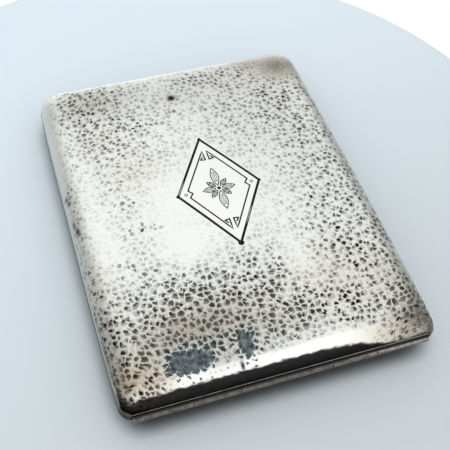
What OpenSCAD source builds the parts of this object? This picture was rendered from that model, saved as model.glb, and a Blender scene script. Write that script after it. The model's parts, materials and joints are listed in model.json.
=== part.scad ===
// Flat pocket case of hammered silver for one row of cigarettes in each half.
// X runs along the hinge, Y from the hinge to the catch, and Z up. The case lies on its back, shut.

/* [Case] */
// Width across the two long sides, at mid-length
case_w = 79.4; // [72:0.1:95]
// Length of the shells, from the hinge wall to the catch wall
case_l = 103.8; // [92:0.1:125]
// How far the lid's middle rises above the seam
lid_rise = 7.4; // [7:0.1:10]
// How far the back's flat reaches below the seam
base_depth = 7.2; // [7:0.1:10]
// Radius of the rounded edge all round each shell
edge_r = 5.9; // [5.6:0.1:6.4]
// Thickness of the silver sheet
wall = 0.8; // [0.6:0.05:1]
// Plan radius of the two corners beside the hinge
near_corner_r = 3; // [2:0.1:6]
// Plan radius of the two corners beside the catch
far_corner_r = 6; // [3:0.1:8]
// Plan radius to which every corner tends where the rounded edge ends
top_corner_r = 3.5; // [2:0.1:5]
// How much narrower the case is at its two ends than at mid-length
side_bow = 1.4; // [0:0.1:2]
// Share of the back's panel that is flat, so that the case lies still
flat_share = 0.5; // [0.3:0.05:0.8]

/* [Rims] */
// Height of the square wire soldered round each mouth
rim_h = 0.6; // [0.4:0.05:0.9]
// Gap between the two rims when the case is shut
seam_gap = 0.15; // [0.1:0.01:0.25]
// Height of the standing bezel above the seam
bezel_h = 1; // [0.6:0.1:1.3]
// Thickness of the standing bezel
bezel_t = 0.4; // [0.3:0.05:0.6]
// Gap between the bezel and the lid's rim
bezel_clear = 0.3; // [0.2:0.05:0.5]
// Where the bezel ends on the long sides, measured from the hinge wall
bezel_start = 10; // [6:0.5:20]

/* [Hinge] */
// Radius of the hinge barrel
barrel_r = 1; // [0.8:0.05:1.2]
// Length of the barrel without its end plugs
barrel_l = 72; // [66:0.5:74]
// Length of the middle knuckle
mid_knuckle = 22.6; // [16:0.1:28]
// Length of the two knuckles beside the middle one
side_knuckle = 11.3; // [8:0.1:14]
// Gap between neighbouring knuckles
knuckle_gap = 0.2; // [0.1:0.05:0.4]
// Gap between a knuckle and the cove of the other half
cove_clear = 0.15; // [0.1:0.01:0.25]
// Radius of the hinge pin
pin_r = 0.5; // [0.4:0.05:0.6]
// Running clearance of the pin in its knuckles, on the radius
pin_clear = 0.04; // [0.02:0.01:0.08]
// Thickness of the plug at each end of the barrel
plug_t = 0.5; // [0.3:0.1:0.8]
// Thickness of the bearer strip behind the barrel
bearer_t = 1.7; // [1.2:0.1:2]
// Height of the bearer strip
bearer_h = 2.6; // [2:0.1:2.8]

/* [Catch] */
// Width of the thumb piece
thumb_w = 13; // [9:0.5:16]
// Height of the thumb piece
thumb_h = 2.2; // [1.6:0.1:2.3]
// How far the thumb piece stands out of the case
thumb_proud = 1; // [0.9:0.1:1.5]
// Gap from the seam down to the thumb piece
thumb_drop = 0.3; // [0.2:0.05:0.5]
// Gap between the thumb piece and its slot
slot_clear = 0.15; // [0.1:0.01:0.25]
// Length of the flat catch spring
spring_l = 32; // [28:1:40]
// Thickness of the catch spring
spring_t = 0.4; // [0.3:0.05:0.5]
// How far the spring's outer face lies inside the case's outline
spring_in = 1.8; // [1.7:0.05:2]
// Width of the sprung tongue that stands up into the lid
tongue_w = 7; // [5:0.5:9]
// Height of the tongue above the seam
tongue_rise = 1.95; // [1.8:0.05:2.2]
// How far the tongue's nib reaches over the keeper
nib_reach = 0.6; // [0.4:0.05:0.7]
// Height of the nib
nib_h = 0.6; // [0.4:0.05:0.7]
// Width of the keeper in the lid
keeper_w = 10; // [8:0.5:14]
// Gap between the nib or the tongue and the keeper
keeper_clear = 0.15; // [0.1:0.01:0.2]
// Radius of the rivets that hold the spring
rivet_r = 0.45; // [0.35:0.05:0.55]

/* [Bands] */
// Width of the elastic band
band_w = 11; // [10:0.5:16]
// Thickness of the elastic band
band_t = 0.8; // [0.6:0.1:1]
// Radius of the wire staples that hold a band's ends
staple_r = 0.4; // [0.3:0.05:0.5]
// How far each staple's bar lies inside the case's outline
bar_in = 4.9; // [4.6:0.1:7]
// How far each staple's bar lies from the seam
bar_drop = 3.4; // [3.2:0.1:3.6]
// Length of the tail that is turned back and sewn at each end of a band
band_tail = 8; // [5:0.5:12]

/* [Hidden] */

silver = "#c9c7c2";
gilt = "#d8b35a";
steel = "#8e9196";
webbing = "#b48a3c";

seam_z = base_depth;
hinge_y = -case_l / 2;
edge_end = 85;         // angle at which the rounded edge passes into the panel
edge_steps = 8;
panel_shares = [0.85, 0.7, 0.5, 0.25];
arc_steps = 7;         // steps in each plan corner
long_steps = 10;       // steps along each long side
short_steps = 7;       // steps along each short side
spring_drop = 0.4;     // gap from the seam down to the catch spring
spring_h = thumb_h;
post_l = 3;            // length of the two posts behind the spring
rivet_grip = 0.4;      // how far a rivet goes into its post
rivet_head_t = 0.35;
rivet_head_r = 1.8 * rivet_r;
staple_side = 0.3;     // gap between a band's edge and the staple's legs
band_play = 0.05;      // gap between a band's loop and the bar in it
thumb_round = 0.7;     // plan radius of the thumb piece's two outer corners
past = 1;              // how far a cut runs past what it cuts
$fn = 48;

knuckle_x = [
    -barrel_l / 2, -mid_knuckle / 2 - side_knuckle, -mid_knuckle / 2,
    mid_knuckle / 2, mid_knuckle / 2 + side_knuckle, barrel_l / 2
];
knuckle_count = len(knuckle_x) - 1;
LID = 0;               // the lid carries the even knuckles
BASE = 1;              // the base carries the odd ones

// Plan radius of a corner on the ring that lies inset from the outline
function ring_corner(r, inset) = r + (top_corner_r - r) * min(1, inset / edge_r);

// Points of an arc round c, from angle a0 through a quarter turn
function quarter(c, r, a0) =
    [for (i = [0:arc_steps]) c + r * [cos(a0 + 90 * i / arc_steps), sin(a0 + 90 * i / arc_steps)]];

// Points strictly between p and q
function between(p, q, n) = [for (i = [1:n - 1]) p + (q - p) * i / n];

// Rounded rectangle that lies inset from the outline, drawn anticlockwise
function plain_ring(inset) =
    let (
        hw = case_w / 2 - inset,
        hl = case_l / 2 - inset,
        rn = ring_corner(near_corner_r, inset),
        rf = ring_corner(far_corner_r, inset),
        near_left = [-hw + rn, -hl + rn],
        near_right = [hw - rn, -hl + rn],
        far_right = [hw - rf, hl - rf],
        far_left = [-hw + rf, hl - rf]
    )
    concat(
        quarter(near_right, rn, -90),
        between([hw, -hl + rn], [hw, hl - rf], long_steps),
        quarter(far_right, rf, 0),
        between([hw - rf, hl], [-hw + rf, hl], short_steps),
        quarter(far_left, rf, 90),
        between([-hw, hl - rf], [-hw, -hl + rn], long_steps),
        quarter(near_left, rn, 180),
        between([-hw + rn, -hl], [hw - rn, -hl], short_steps)
    );

// The long sides bow out: the ends are drawn in by a fourth power of the way along
function bowed(p) = [p.x * (1 - side_bow / case_w * pow(2 * p.y / case_l, 4)), p.y];
function ring(inset) = [for (p = plain_ring(inset)) bowed(p)];

// Rounded edge of a sheet surface that lies skin inside the outer one, as [inset, height above the seam]
function edge_point(skin, a) = [skin + (edge_r - skin) * (1 - cos(a)), (edge_r - skin) * sin(a)];
function edge_profile(skin) =
    let (a0 = asin(rim_h / (edge_r - skin)))
    [for (i = [0:edge_steps]) edge_point(skin, a0 + (edge_end - a0) * i / edge_steps)];

// How far the panel has fallen at a share of the way out to a side: 0 over its flat and 1 at the side
function fall(flat, share) = pow(max(0, (abs(share) - flat) / (1 - flat)), 2);

// Height of the panel over the end of the rounded edge, at shares x and y of the way out to its sides
function crown(rise, flat, x, y) =
    (rise - edge_point(0, edge_end).y) * (1 - fall(flat, x)) * (1 - fall(flat, y));

// Ring of the panel at share s of the way out from its middle to its edge, which is the given profile point
function panel_ring(edge, rise, flat, s) =
    let (hw = case_w / 2 - edge.x, hl = case_l / 2 - edge.x)
    [for (p = plain_ring(edge.x)) let (q = s * bowed(p))
        [q.x, q.y, edge.y + crown(rise, flat, s * p.x / hw, s * p.y / hl)]];

// Rings of one skin from the mouth to the middle of the panel
function at_height(points, z) = [for (p = points) [p.x, p.y, z]];
function skin_rings(skin, rise, flat) =
    let (
        profile = edge_profile(skin),
        last = profile[edge_steps]
    )
    concat(
        [for (p = profile) at_height(ring(p.x), p.y)],
        [for (s = panel_shares) panel_ring(last, rise, flat, s)],
        [[[0, 0, last.y + crown(rise, flat, 0, 0)]]]
    );

// Faces between two neighbouring rings of n points, and the fan that closes a ring
function band_faces(n, a, b) =
    [for (i = [0:n - 1]) let (j = (i + 1) % n) each [[a + i, b + i, b + j], [a + i, b + j, a + j]]];
function fan_faces(n, a, tip) = [for (i = [0:n - 1]) [a + i, tip, a + (i + 1) % n]];
function flipped(faces) = [for (f = faces) [f[2], f[1], f[0]]];

// Domed tray of sheet silver, open downwards, with its mouth one rim above the seam
module tray(rise, flat) {
    outer = skin_rings(0, rise, flat);
    inner = skin_rings(wall, rise, flat);
    n = len(outer[0]);
    rings = len(outer) - 1;
    skin_size = n * rings + 1;
    outer_faces = concat(
        [for (k = [0:rings - 2]) each band_faces(n, k * n, (k + 1) * n)],
        fan_faces(n, (rings - 1) * n, skin_size - 1)
    );
    inner_faces = [for (f = flipped(outer_faces)) f + [skin_size, skin_size, skin_size]];
    mouth_faces = flipped(band_faces(n, 0, skin_size));
    polyhedron(
        points = concat([for (r = outer) each r], [for (r = inner) each r]),
        faces = concat(outer_faces, inner_faces, mouth_faces),
        convexity = 4
    );
}

// Puts what is drawn above the seam plane in the lid, or upside down in the base
module in_half(half) {
    translate([0, 0, seam_z]) mirror([0, 0, half == BASE ? 1 : 0]) children();
}

// Stands a section drawn as [inset, height above the seam] on the hinge wall or on the catch wall
module on_wall(at_catch, x0, x1) {
    mirror([0, at_catch ? 1 : 0, 0])
        translate([x0, -case_l / 2, 0]) rotate([90, 0, 90]) linear_extrude(x1 - x0) children();
}

// Section of the hollow beside a wall, from the seam to the end of the rounded edge
module hollow_section() {
    profile = edge_profile(wall);
    top = profile[edge_steps].y;
    polygon(concat([[wall, 0], [wall, rim_h]], profile, [[2 * edge_r, top], [2 * edge_r, 0]]));
}

// Part of the hollow's section between two insets and two heights
module hollow_part(in0, in1, h0, h1) {
    intersection() {
        hollow_section();
        translate([in0, h0]) square([in1 - in0, h1 - h0]);
    }
}

// Round bar along X on the hinge line
module hinge_bar(r, x0, x1) {
    translate([x0, hinge_y, seam_z]) rotate([0, 90, 0]) cylinder(r = r, h = x1 - x0);
}

// Room for the barrel in one half: its own knuckles are soldered in, the others run clear
module barrel_room(half) {
    for (i = [0:knuckle_count - 1]) {
        own = i % 2 == half;
        grow = own ? -knuckle_gap / 2 : knuckle_gap / 2;
        x0 = i == 0 ? -barrel_l / 2 - plug_t - cove_clear : knuckle_x[i] - grow;
        x1 = i == knuckle_count - 1 ? barrel_l / 2 + plug_t + cove_clear : knuckle_x[i + 1] + grow;
        hinge_bar(own ? barrel_r : barrel_r + cove_clear, x0, x1);
    }
}

// Knuckles that one half carries, as tubes on the hinge line
module knuckles(half) {
    for (i = [half:2:knuckle_count - 1]) {
        x0 = knuckle_x[i] + (i == 0 ? 0 : knuckle_gap / 2);
        x1 = knuckle_x[i + 1] - (i == knuckle_count - 1 ? 0 : knuckle_gap / 2);
        difference() {
            hinge_bar(barrel_r, x0, x1);
            hinge_bar(pin_r + pin_clear, x0 - past, x1 + past);
        }
    }
}

// Square wire round the mouth of one half
module rim(half) {
    difference() {
        in_half(half) translate([0, 0, seam_gap / 2]) linear_extrude(rim_h - seam_gap / 2) difference() {
            polygon(ring(0));
            polygon(ring(wall));
        }
        barrel_room(half);
    }
}

// Strip with a cove for the barrel, soldered inside the hinge wall of one half
module bearer(half) {
    reach = case_w / 2 - wall - side_bow / 2 - ring_corner(near_corner_r, wall);
    difference() {
        in_half(half) on_wall(false, -reach, reach)
            hollow_part(wall, wall + bearer_t, seam_gap / 2, bearer_h);
        barrel_room(half);
    }
}

// Room for the thumb piece through the catch wall of the base
module thumb_slot() {
    w = thumb_w / 2 + slot_clear;
    h = thumb_drop + thumb_h + slot_clear;
    translate([-w, case_l / 2 - spring_in - past, seam_z - h]) cube([2 * w, spring_in + 2 * past, h + past]);
}

// One elastic band with a sewn loop round the bar at each of its ends
module band(half) {
    bar_y = case_l / 2 - bar_in;
    loop_r = staple_r + band_play + band_t;
    top = bar_drop - loop_r;
    in_half(half) difference() {
        union() {
            translate([-band_w / 2, -bar_y, top]) cube([band_w, 2 * bar_y, band_t]);
            for (side = [0, 1]) mirror([0, side, 0]) {
                translate([-band_w / 2, bar_y, bar_drop]) rotate([0, 90, 0]) cylinder(r = loop_r, h = band_w);
                translate([-band_w / 2, bar_y - band_tail, top + band_t]) cube([band_w, band_tail, band_t]);
            }
        }
        for (y = [-bar_y, bar_y]) translate([-band_w / 2 - past, y, bar_drop])
            rotate([0, 90, 0]) cylinder(r = staple_r + band_play, h = band_w + 2 * past);
    }
}

// The two wire staples that hold one band, each with its legs soldered to a wall
module band_staples(half) {
    x = band_w / 2 + staple_side + staple_r;
    bar_y = case_l / 2 - bar_in;
    in_half(half) for (side = [0, 1]) mirror([0, side, 0]) {
        translate([-x, bar_y, bar_drop]) rotate([0, 90, 0]) cylinder(r = staple_r, h = 2 * x);
        for (leg = [-x, x]) {
            translate([leg, bar_y, bar_drop]) sphere(r = staple_r);
            intersection() {
                translate([leg, bar_y, bar_drop]) rotate([-90, 0, 0]) cylinder(r = staple_r, h = bar_in);
                on_wall(true, leg - past, leg + past) hollow_section();
            }
        }
    }
}

module lid_shell() {
    color(silver) difference() {
        in_half(LID) tray(lid_rise, 0);
        barrel_room(LID);
    }
}

module lid_rim() {
    color(silver) rim(LID);
}

module lid_bearer() {
    color(silver) bearer(LID);
}

module lid_knuckles() {
    color(silver) knuckles(LID);
}

// Plugs that close the barrel over the ends of the pin
module pin_plugs() {
    color(silver) {
        hinge_bar(barrel_r, barrel_l / 2, barrel_l / 2 + plug_t);
        hinge_bar(barrel_r, -barrel_l / 2 - plug_t, -barrel_l / 2);
    }
}

// Ledge in the lid under which nothing lifts until the tongue's nib has sprung back over it
module lid_keeper() {
    keeper_top = tongue_rise - nib_h - keeper_clear;
    color(silver) in_half(LID) on_wall(true, -keeper_w / 2, keeper_w / 2)
        hollow_part(wall, spring_in - keeper_clear, keeper_clear + seam_gap, keeper_top);
}

module lid_band() {
    color(webbing) band(LID);
}

module lid_band_staples() {
    color(gilt) band_staples(LID);
}

module base_shell() {
    color(silver) difference() {
        in_half(BASE) tray(base_depth, flat_share);
        barrel_room(BASE);
        thumb_slot();
    }
}

module base_rim() {
    color(silver) difference() {
        rim(BASE);
        thumb_slot();
    }
}

// Thin strip that stands up inside the lid's rim on three sides and seats the lid
module base_bezel() {
    foot = wall;
    stand = wall + bezel_clear;
    gate = spring_l / 2 + bezel_t;
    color(gilt) difference() {
        union() {
            translate([0, 0, seam_z - rim_h]) linear_extrude(rim_h - seam_gap / 2) difference() {
                polygon(ring(foot));
                polygon(ring(stand + bezel_t));
            }
            translate([0, 0, seam_z - rim_h]) linear_extrude(rim_h + bezel_h) difference() {
                polygon(ring(stand));
                polygon(ring(stand + bezel_t));
            }
        }
        translate([-case_w / 2, -case_l / 2, 0]) cube([case_w, bezel_start, seam_z + bezel_h + past]);
        translate([-gate, 0, 0]) cube([2 * gate, case_l, seam_z + bezel_h + past]);
    }
}

module base_bearer() {
    color(silver) bearer(BASE);
}

module base_knuckles() {
    color(silver) knuckles(BASE);
}

// Wire on which both halves turn
module hinge_pin() {
    color(steel) hinge_bar(pin_r, -barrel_l / 2, barrel_l / 2);
}

// Flat spring inside the catch wall, with a tongue and nib that hold the lid's keeper
module catch_spring() {
    y0 = case_l / 2 - spring_in - spring_t;
    top = seam_z - spring_drop;
    nib_z = tongue_rise - nib_h;
    color(steel) difference() {
        union() {
            translate([-spring_l / 2, y0, top - spring_h]) cube([spring_l, spring_t, spring_h]);
            translate([-tongue_w / 2, y0, top]) cube([tongue_w, spring_t, spring_drop + tongue_rise]);
            in_half(LID) on_wall(true, -tongue_w / 2, tongue_w / 2) polygon([
                [spring_in, nib_z], [spring_in - nib_reach, nib_z],
                [spring_in - nib_reach, nib_z + nib_h / 3], [spring_in, tongue_rise]
            ]);
        }
        for (side = [-1, 1]) translate([side * (spring_l - post_l) / 2, y0 - past, top - spring_h / 2])
            rotate([-90, 0, 0]) cylinder(r = rivet_r, h = spring_t + 2 * past);
    }
}

// Two small blocks soldered to the catch wall, behind the spring's ends
module spring_posts() {
    x = (spring_l - post_l) / 2;
    color(silver) for (side = [-1, 1]) difference() {
        in_half(BASE) on_wall(true, side * x - post_l / 2, side * x + post_l / 2)
            hollow_part(wall, spring_in, rim_h, spring_drop + spring_h);
        translate([side * x, case_l / 2 - spring_in - past, seam_z - spring_drop - spring_h / 2])
            rotate([-90, 0, 0]) cylinder(r = rivet_r, h = rivet_grip + past);
    }
}

module spring_rivets() {
    y = case_l / 2 - spring_in - spring_t;
    color(steel) for (side = [-1, 1])
        translate([side * (spring_l - post_l) / 2, y, seam_z - spring_drop - spring_h / 2]) {
            rotate([-90, 0, 0]) cylinder(r = rivet_r, h = spring_t + rivet_grip);
            rotate([90, 0, 0]) cylinder(r = rivet_head_r, h = rivet_head_t);
        }
}

module base_band() {
    color(webbing) band(BASE);
}

module base_band_staples() {
    color(gilt) band_staples(BASE);
}

// Bar pressed with the thumb: it pushes the spring's tongue back from the keeper
module thumb_piece() {
    front = case_l / 2 + thumb_proud;
    back = case_l / 2 - spring_in;
    straight = thumb_w / 2 - thumb_round;
    color(silver) translate([0, 0, seam_z - thumb_drop - thumb_h]) linear_extrude(thumb_h) union() {
        translate([-thumb_w / 2, back]) square([thumb_w, front - back - thumb_round]);
        translate([-straight, back]) square([2 * straight, front - back]);
        for (x = [-straight, straight]) translate([x, front - thumb_round]) circle(r = thumb_round);
    }
}

lid_shell();
lid_rim();
lid_bearer();
lid_knuckles();
pin_plugs();
lid_keeper();
lid_band();
lid_band_staples();
base_shell();
base_rim();
base_bezel();
base_bearer();
base_knuckles();
hinge_pin();
catch_spring();
spring_posts();
spring_rivets();
base_band();
base_band_staples();
thumb_piece();
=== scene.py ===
# %% [markdown]
# A flat pocket case of hammered silver, shut and lying on its back on a pale disc. The construction is
# already made and packed: this script dresses it. It is a lesson in small steps, and each step says what
# the piece is on the real object, how it could be made in Blender, and why it is made as it is here.
# X runs along the hinge, Y from the hinge to the catch, and Z up.

import json
import math
from functools import partial

import bmesh
import bpy
import numpy as np
from mathutils import Matrix, Vector


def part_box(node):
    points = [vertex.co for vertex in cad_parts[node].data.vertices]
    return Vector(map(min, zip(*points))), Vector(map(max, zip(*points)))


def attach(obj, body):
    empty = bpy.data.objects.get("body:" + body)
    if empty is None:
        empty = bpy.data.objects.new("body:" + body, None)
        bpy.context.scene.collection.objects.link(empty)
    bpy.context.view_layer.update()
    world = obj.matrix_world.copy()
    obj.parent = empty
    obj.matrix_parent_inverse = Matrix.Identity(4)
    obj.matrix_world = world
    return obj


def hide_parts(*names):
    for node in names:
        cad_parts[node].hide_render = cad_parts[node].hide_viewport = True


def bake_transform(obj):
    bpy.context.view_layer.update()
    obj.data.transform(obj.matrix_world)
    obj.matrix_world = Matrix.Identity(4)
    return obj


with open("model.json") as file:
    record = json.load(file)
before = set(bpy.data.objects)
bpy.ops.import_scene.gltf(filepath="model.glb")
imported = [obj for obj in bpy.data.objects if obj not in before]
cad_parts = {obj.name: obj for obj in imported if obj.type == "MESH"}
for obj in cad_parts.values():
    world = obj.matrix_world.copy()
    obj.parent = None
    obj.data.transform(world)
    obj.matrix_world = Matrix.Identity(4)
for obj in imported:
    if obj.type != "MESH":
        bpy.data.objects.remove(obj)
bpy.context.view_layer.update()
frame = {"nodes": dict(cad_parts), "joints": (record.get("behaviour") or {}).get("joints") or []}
nodes = frame["nodes"]
MM = 0.001

# %% [markdown]
# The sizes that the frame can tell are read from it. The others repeat the construction's own values, in
# millimetres, so that each new surface lies where the solid that it stands for lies.

# %% Sizes in millimetres
hinge = frame["joints"][0]["pos_m"]
SEAM = hinge[2] / MM
HALF_L = -hinge[1] / MM
HALF_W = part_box("lid_shell")[1].x / MM
LID_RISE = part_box("lid_shell")[1].z / MM - SEAM
BASE_DEPTH = SEAM
EDGE_R = 5.9
EDGE_END = math.radians(85)
WALL = 0.8
NEAR_CORNER = 3.0
FAR_CORNER = 6.0
TOP_CORNER = 3.5
SIDE_BOW = 1.4
RIM_H = 0.6
SEAM_GAP = 0.15
BARREL_R = 1.0
BARREL_L = 72.0
KNUCKLES = [-36.0, -22.6, -11.3, 11.3, 22.6, 36.0]
KNUCKLE_GAP = 0.2
COVE_CLEAR = 0.15
PLUG_T = 0.5
SLOT_HALF_W = 6.65
SLOT_DROP = 2.65
print("half width", round(HALF_W, 2), "half length", round(HALF_L, 2), "seam", round(SEAM, 2))

# %% [markdown]
# Every new piece is a set of points worked out as whole arrays, and a list of faces. Four helpers turn
# them into objects. The first joins parts and the second puts an object into the scene. The third merges
# doubled points, points every face outwards and marks the edges that should look sharp. The last gives a
# piece its material and its body.


# %% Helpers for meshes
def joined(parts):
    """Points and faces of several parts as one: each part's face numbers grow by the points before it."""
    points, faces, count = [], [], 0
    for part_points, part_faces in parts:
        points.append(np.asarray(part_points, float).reshape(-1, 3))
        faces += [[i + count for i in face] for face in part_faces]
        count += len(points[-1])
    return np.concatenate(points), faces


def new_object(name, data):
    """Object with this data, linked to the scene."""
    made = bpy.data.objects.new(name, data)
    bpy.context.scene.collection.objects.link(made)
    return made


def mesh_object(name, points, faces, sharp=40, merge=0.0005):
    """Object with points in millimetres, where points closer than merge become one. Edges that bend by more
    than sharp degrees are drawn sharp."""
    mesh = bpy.data.meshes.new(name)
    mesh.from_pydata((np.asarray(points) * MM).tolist(), [], faces)
    bm = bmesh.new()
    bm.from_mesh(mesh)
    bmesh.ops.remove_doubles(bm, verts=bm.verts, dist=merge * MM)
    bmesh.ops.recalc_face_normals(bm, faces=bm.faces)
    bm.to_mesh(mesh)
    bm.free()
    mesh.shade_smooth()
    mesh.set_sharp_from_angle(angle=math.radians(sharp))
    return new_object(name, mesh)


def dress(piece, material, body, slot, *stands_for):
    """Gives a piece its material and its body, and hides the solids that it stands for. The slot is not used.
    """
    piece.data.materials.append(material)
    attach(piece, body)
    if stands_for:
        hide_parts(*stands_for)
    print(piece.name, len(piece.data.vertices), "points")


# %% [markdown]
# A grid of points needs quads between its neighbours. Wire, tube and strip are the same thing: a small
# closed profile that is carried along a path. Its first number runs along a side direction and its second
# up. Tubes and rivets are a profile turned round a line. Every rounded corner is an arc.


# %% Helpers for grids and sweeps
def stacked(*numbers):
    """Arrays side by side along a new last axis, where a single number is repeated."""
    return np.stack(np.broadcast_arrays(*numbers), -1)


def arc(x, y, rx, ry, first, last, count):
    """Points (x + rx * cos a, y + ry * sin a) for angles a from first to last degrees."""
    turn = np.radians(np.linspace(first, last, count))
    return stacked(x + rx * np.cos(turn), y + ry * np.sin(turn))


def grid_quads(rows, columns, close_rows=False, close_columns=False):
    """Quads of a grid numbered row by row: each joins a point, its neighbour, and the two beyond."""
    r = np.arange(rows if close_rows else rows - 1)
    c = np.arange(columns if close_columns else columns - 1)
    r0, c0 = np.meshgrid(r, c, indexing="ij")
    r1, c1 = (r0 + 1) % rows, (c0 + 1) % columns
    corners = [r0 * columns + c0, r0 * columns + c1, r1 * columns + c1, r1 * columns + c0]
    return np.stack(corners, -1).reshape(-1, 4).tolist()


def sweep(path, profile, side=(0, 1, 0), closed=False):
    """Profile point (a, b) at path point p lies at p + a * side, and b higher. Open ends are capped."""
    path, profile = np.asarray(path, float), np.asarray(profile, float)
    side = np.broadcast_to(side, path.shape)[:, None]
    n, k = len(path), len(profile)
    faces = grid_quads(n, k, close_rows=closed, close_columns=True)
    if not closed:
        faces += [list(range(k)), [(n - 1) * k + i for i in range(k)]]
    across = profile[:, :1] * side + profile[:, 1:] * [0, 0, 1]
    return (path[:, None] + across).reshape(-1, 3), faces


def directions(path):
    """Unit vectors along an open path, from each point's neighbour before to its neighbour after."""
    along = np.gradient(path, axis=0)
    return along / np.linalg.norm(along, axis=1, keepdims=True)


def rounded_bar(width, height, r):
    """Closed outline of a rectangle round the origin whose corners are quarter circles of radius r."""
    w, h = width / 2 - r, height / 2 - r
    corners = ((w, h, 0), (-w, h, 90), (-w, -h, 180), (w, -h, 270))
    return np.concatenate([arc(x, y, r, r, start, start + 90, 5) for x, y, start in corners])


def ring_of(r, count=12):
    """Closed outline of a circle of radius r round the origin."""
    turn = np.arange(count) * 2 * math.pi / count
    return stacked(np.cos(turn), np.sin(turn)) * r


def lathe(profile, centre, count=48, axis="x"):
    """Closed profile of (along, radius) points turned round an axis through centre."""
    c, s = ring_of(1, count).T[..., None]
    along, a, b = profile[:, 0], profile[:, 1] * c, profile[:, 1] * s
    points = stacked(*{"x": (along, a, b), "y": (a, along, b), "z": (a, b, along)}[axis])
    faces = grid_quads(count, len(profile), close_rows=True, close_columns=True)
    return points.reshape(-1, 3) + np.asarray(centre, float), faces


# %% [markdown]
# Materials are small networks of nodes. One function adds a node. Its settings are the node's own
# properties, and its values go to the node's open inputs in order, or by name. A value may be a number, a
# colour, another node's output, or another node, which then stands for its first open output. Colours are
# written as sRGB hex values, as one reads them off a screen, and one function turns them to linear light.


# %% Helpers for materials
def linear(hex_colour):
    """sRGB hex to linear RGBA: values up to 0.04045 are divided by 12.92, the rest follow a 2.4 power."""
    c = np.array([int(hex_colour[i : i + 2], 16) for i in (1, 3, 5)]) / 255
    lin = np.where(c <= 0.04045, c / 12.92, ((c + 0.055) / 1.055) ** 2.4)
    return (*lin.tolist(), 1.0)


def fill(tree, node, inputs):
    """Sets or links a node's inputs, given by name or number."""
    for key, value in inputs.items():
        if isinstance(value, bpy.types.Node):
            value = next(socket for socket in value.outputs if socket.enabled)
        if isinstance(value, bpy.types.NodeSocket):
            tree.links.new(value, node.inputs[key])
        else:
            node.inputs[key].default_value = value


def add(tree, kind, *values, named=None, **settings):
    """Adds a node, whose kind may be followed by its operation, sets its properties and fills its inputs."""
    kind, *operation = kind.split()
    made = tree.nodes.new(kind if "Node" in kind else "ShaderNode" + kind)
    if operation:
        made.operation = operation[0]
    for name, value in settings.items():
        setattr(made, name, value)
    places = [i for i, socket in enumerate(made.inputs) if socket.enabled]
    fill(tree, made, dict(zip(places, values)) | (named or {}))
    return made


def new_material(name):
    """Material with an output node and a shader node, its tree, and the shader."""
    material = bpy.data.materials.new(name)
    material.use_nodes = True
    tree = material.node_tree
    tree.nodes.clear()
    shader = add(tree, "BsdfPrincipled")
    add(tree, "OutputMaterial", shader)
    return material, tree, shader


SMOOTH = {"interpolation_type": "SMOOTHSTEP"}
COLOUR = {"data_type": "RGBA"}
FLAT = {"noise_dimensions": "2D"}

# %% [markdown]
# The case is two pressed trays. Each starts at its mouth, curls over a rounded edge and passes into a
# slightly domed panel. One could model a quarter and mirror it, but a planished sheet is hammered all
# over, so the surface is worked out from flat sheet coordinates u and v, in millimetres: unroll the tray
# and each point has its place on the sheet. The hammer marks are then laid on the sheet, and so keep their
# size as they pass round the edge.

# %% The unrolled sheet
PANEL_IN = EDGE_R * (1 - math.cos(EDGE_END))
ARC = EDGE_R * EDGE_END
SHEET_U = HALF_W - PANEL_IN + ARC
SHEET_V = HALF_L - PANEL_IN + ARC
print("sheet", round(2 * SHEET_U, 1), "by", round(2 * SHEET_V, 1), "mm")


def fall(share, flat):
    """How far the dome has fallen at a share of the way out: 0 over the flat, then a parabola to 1."""
    return np.clip((np.abs(share) - flat) / (1 - flat), 0, 1) ** 2


def tray(u, v, skin, rise, flat, mouth):
    """Point of the tray, as x, y and height over the seam, for sheet coordinates u and v.
    m, the way in from the mouth, is the smaller distance to the sheet's sides. On the edge the turn is
    a = a0 + (end - a0) * m / arc, the inset is skin + r * (1 - cos a) and the height r * sin a, with
    r = edge radius - skin. Round the ring at that inset, a point keeps its share of the way from the
    middle of its side to the middle of the corner's arc."""
    r_skin = EDGE_R - skin
    m = np.minimum(SHEET_U - np.abs(u), SHEET_V - np.abs(v))
    a0 = np.arcsin(mouth / r_skin)
    a = a0 + (EDGE_END - a0) * np.clip(m / ARC, 0, 1)
    inset = skin + r_skin * (1 - np.cos(a))
    beyond = np.maximum(0, m - ARC)
    share_in = np.minimum(1, inset / EDGE_R)
    mouth_corner = np.where(v < 0, NEAR_CORNER, FAR_CORNER)
    fade = np.clip(1 - beyond / (3 * TOP_CORNER), 0, 1)
    corner = (mouth_corner + (TOP_CORNER - mouth_corner) * share_in) * fade + 1e-6
    half_w = np.maximum(HALF_W - inset - beyond, 0)
    half_l = np.maximum(HALF_L - inset - beyond, 0)
    corner = np.minimum(corner, half_w + 1e-6)
    on_long = SHEET_U - np.abs(u) < SHEET_V - np.abs(v)
    run, rest = np.where(on_long, half_l, half_w), np.where(on_long, half_w, half_l)
    sheet_run = np.where(on_long, SHEET_V - m, SHEET_U - m)
    along = np.where(on_long, np.abs(v), np.abs(u)) / np.maximum(sheet_run, 1e-6)
    way = np.minimum(along, 1) * (run - corner + corner * math.pi / 4)
    turn = np.clip((way - (run - corner)) / corner, 0, math.pi / 4)
    near = np.where(turn > 0, run - corner + corner * np.sin(turn), way)
    far = rest - corner + corner * np.cos(turn)
    x = np.where(on_long, far, near) * np.sign(u)
    y = np.where(on_long, near, far) * np.sign(v)
    panel_w = HALF_W - skin - r_skin * (1 - math.cos(EDGE_END))
    panel_l = HALF_L - skin - r_skin * (1 - math.cos(EDGE_END))
    dome = (1 - fall(x / panel_w, flat)) * (1 - fall(y / panel_l, flat))
    crown = (rise - EDGE_R * math.sin(EDGE_END)) * dome
    height = r_skin * np.sin(a) + np.where(m > ARC, crown, 0)
    x = x * (1 - SIDE_BOW / (2 * HALF_W) * (y / HALF_L) ** 4)
    return stacked(x, y, height)


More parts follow.
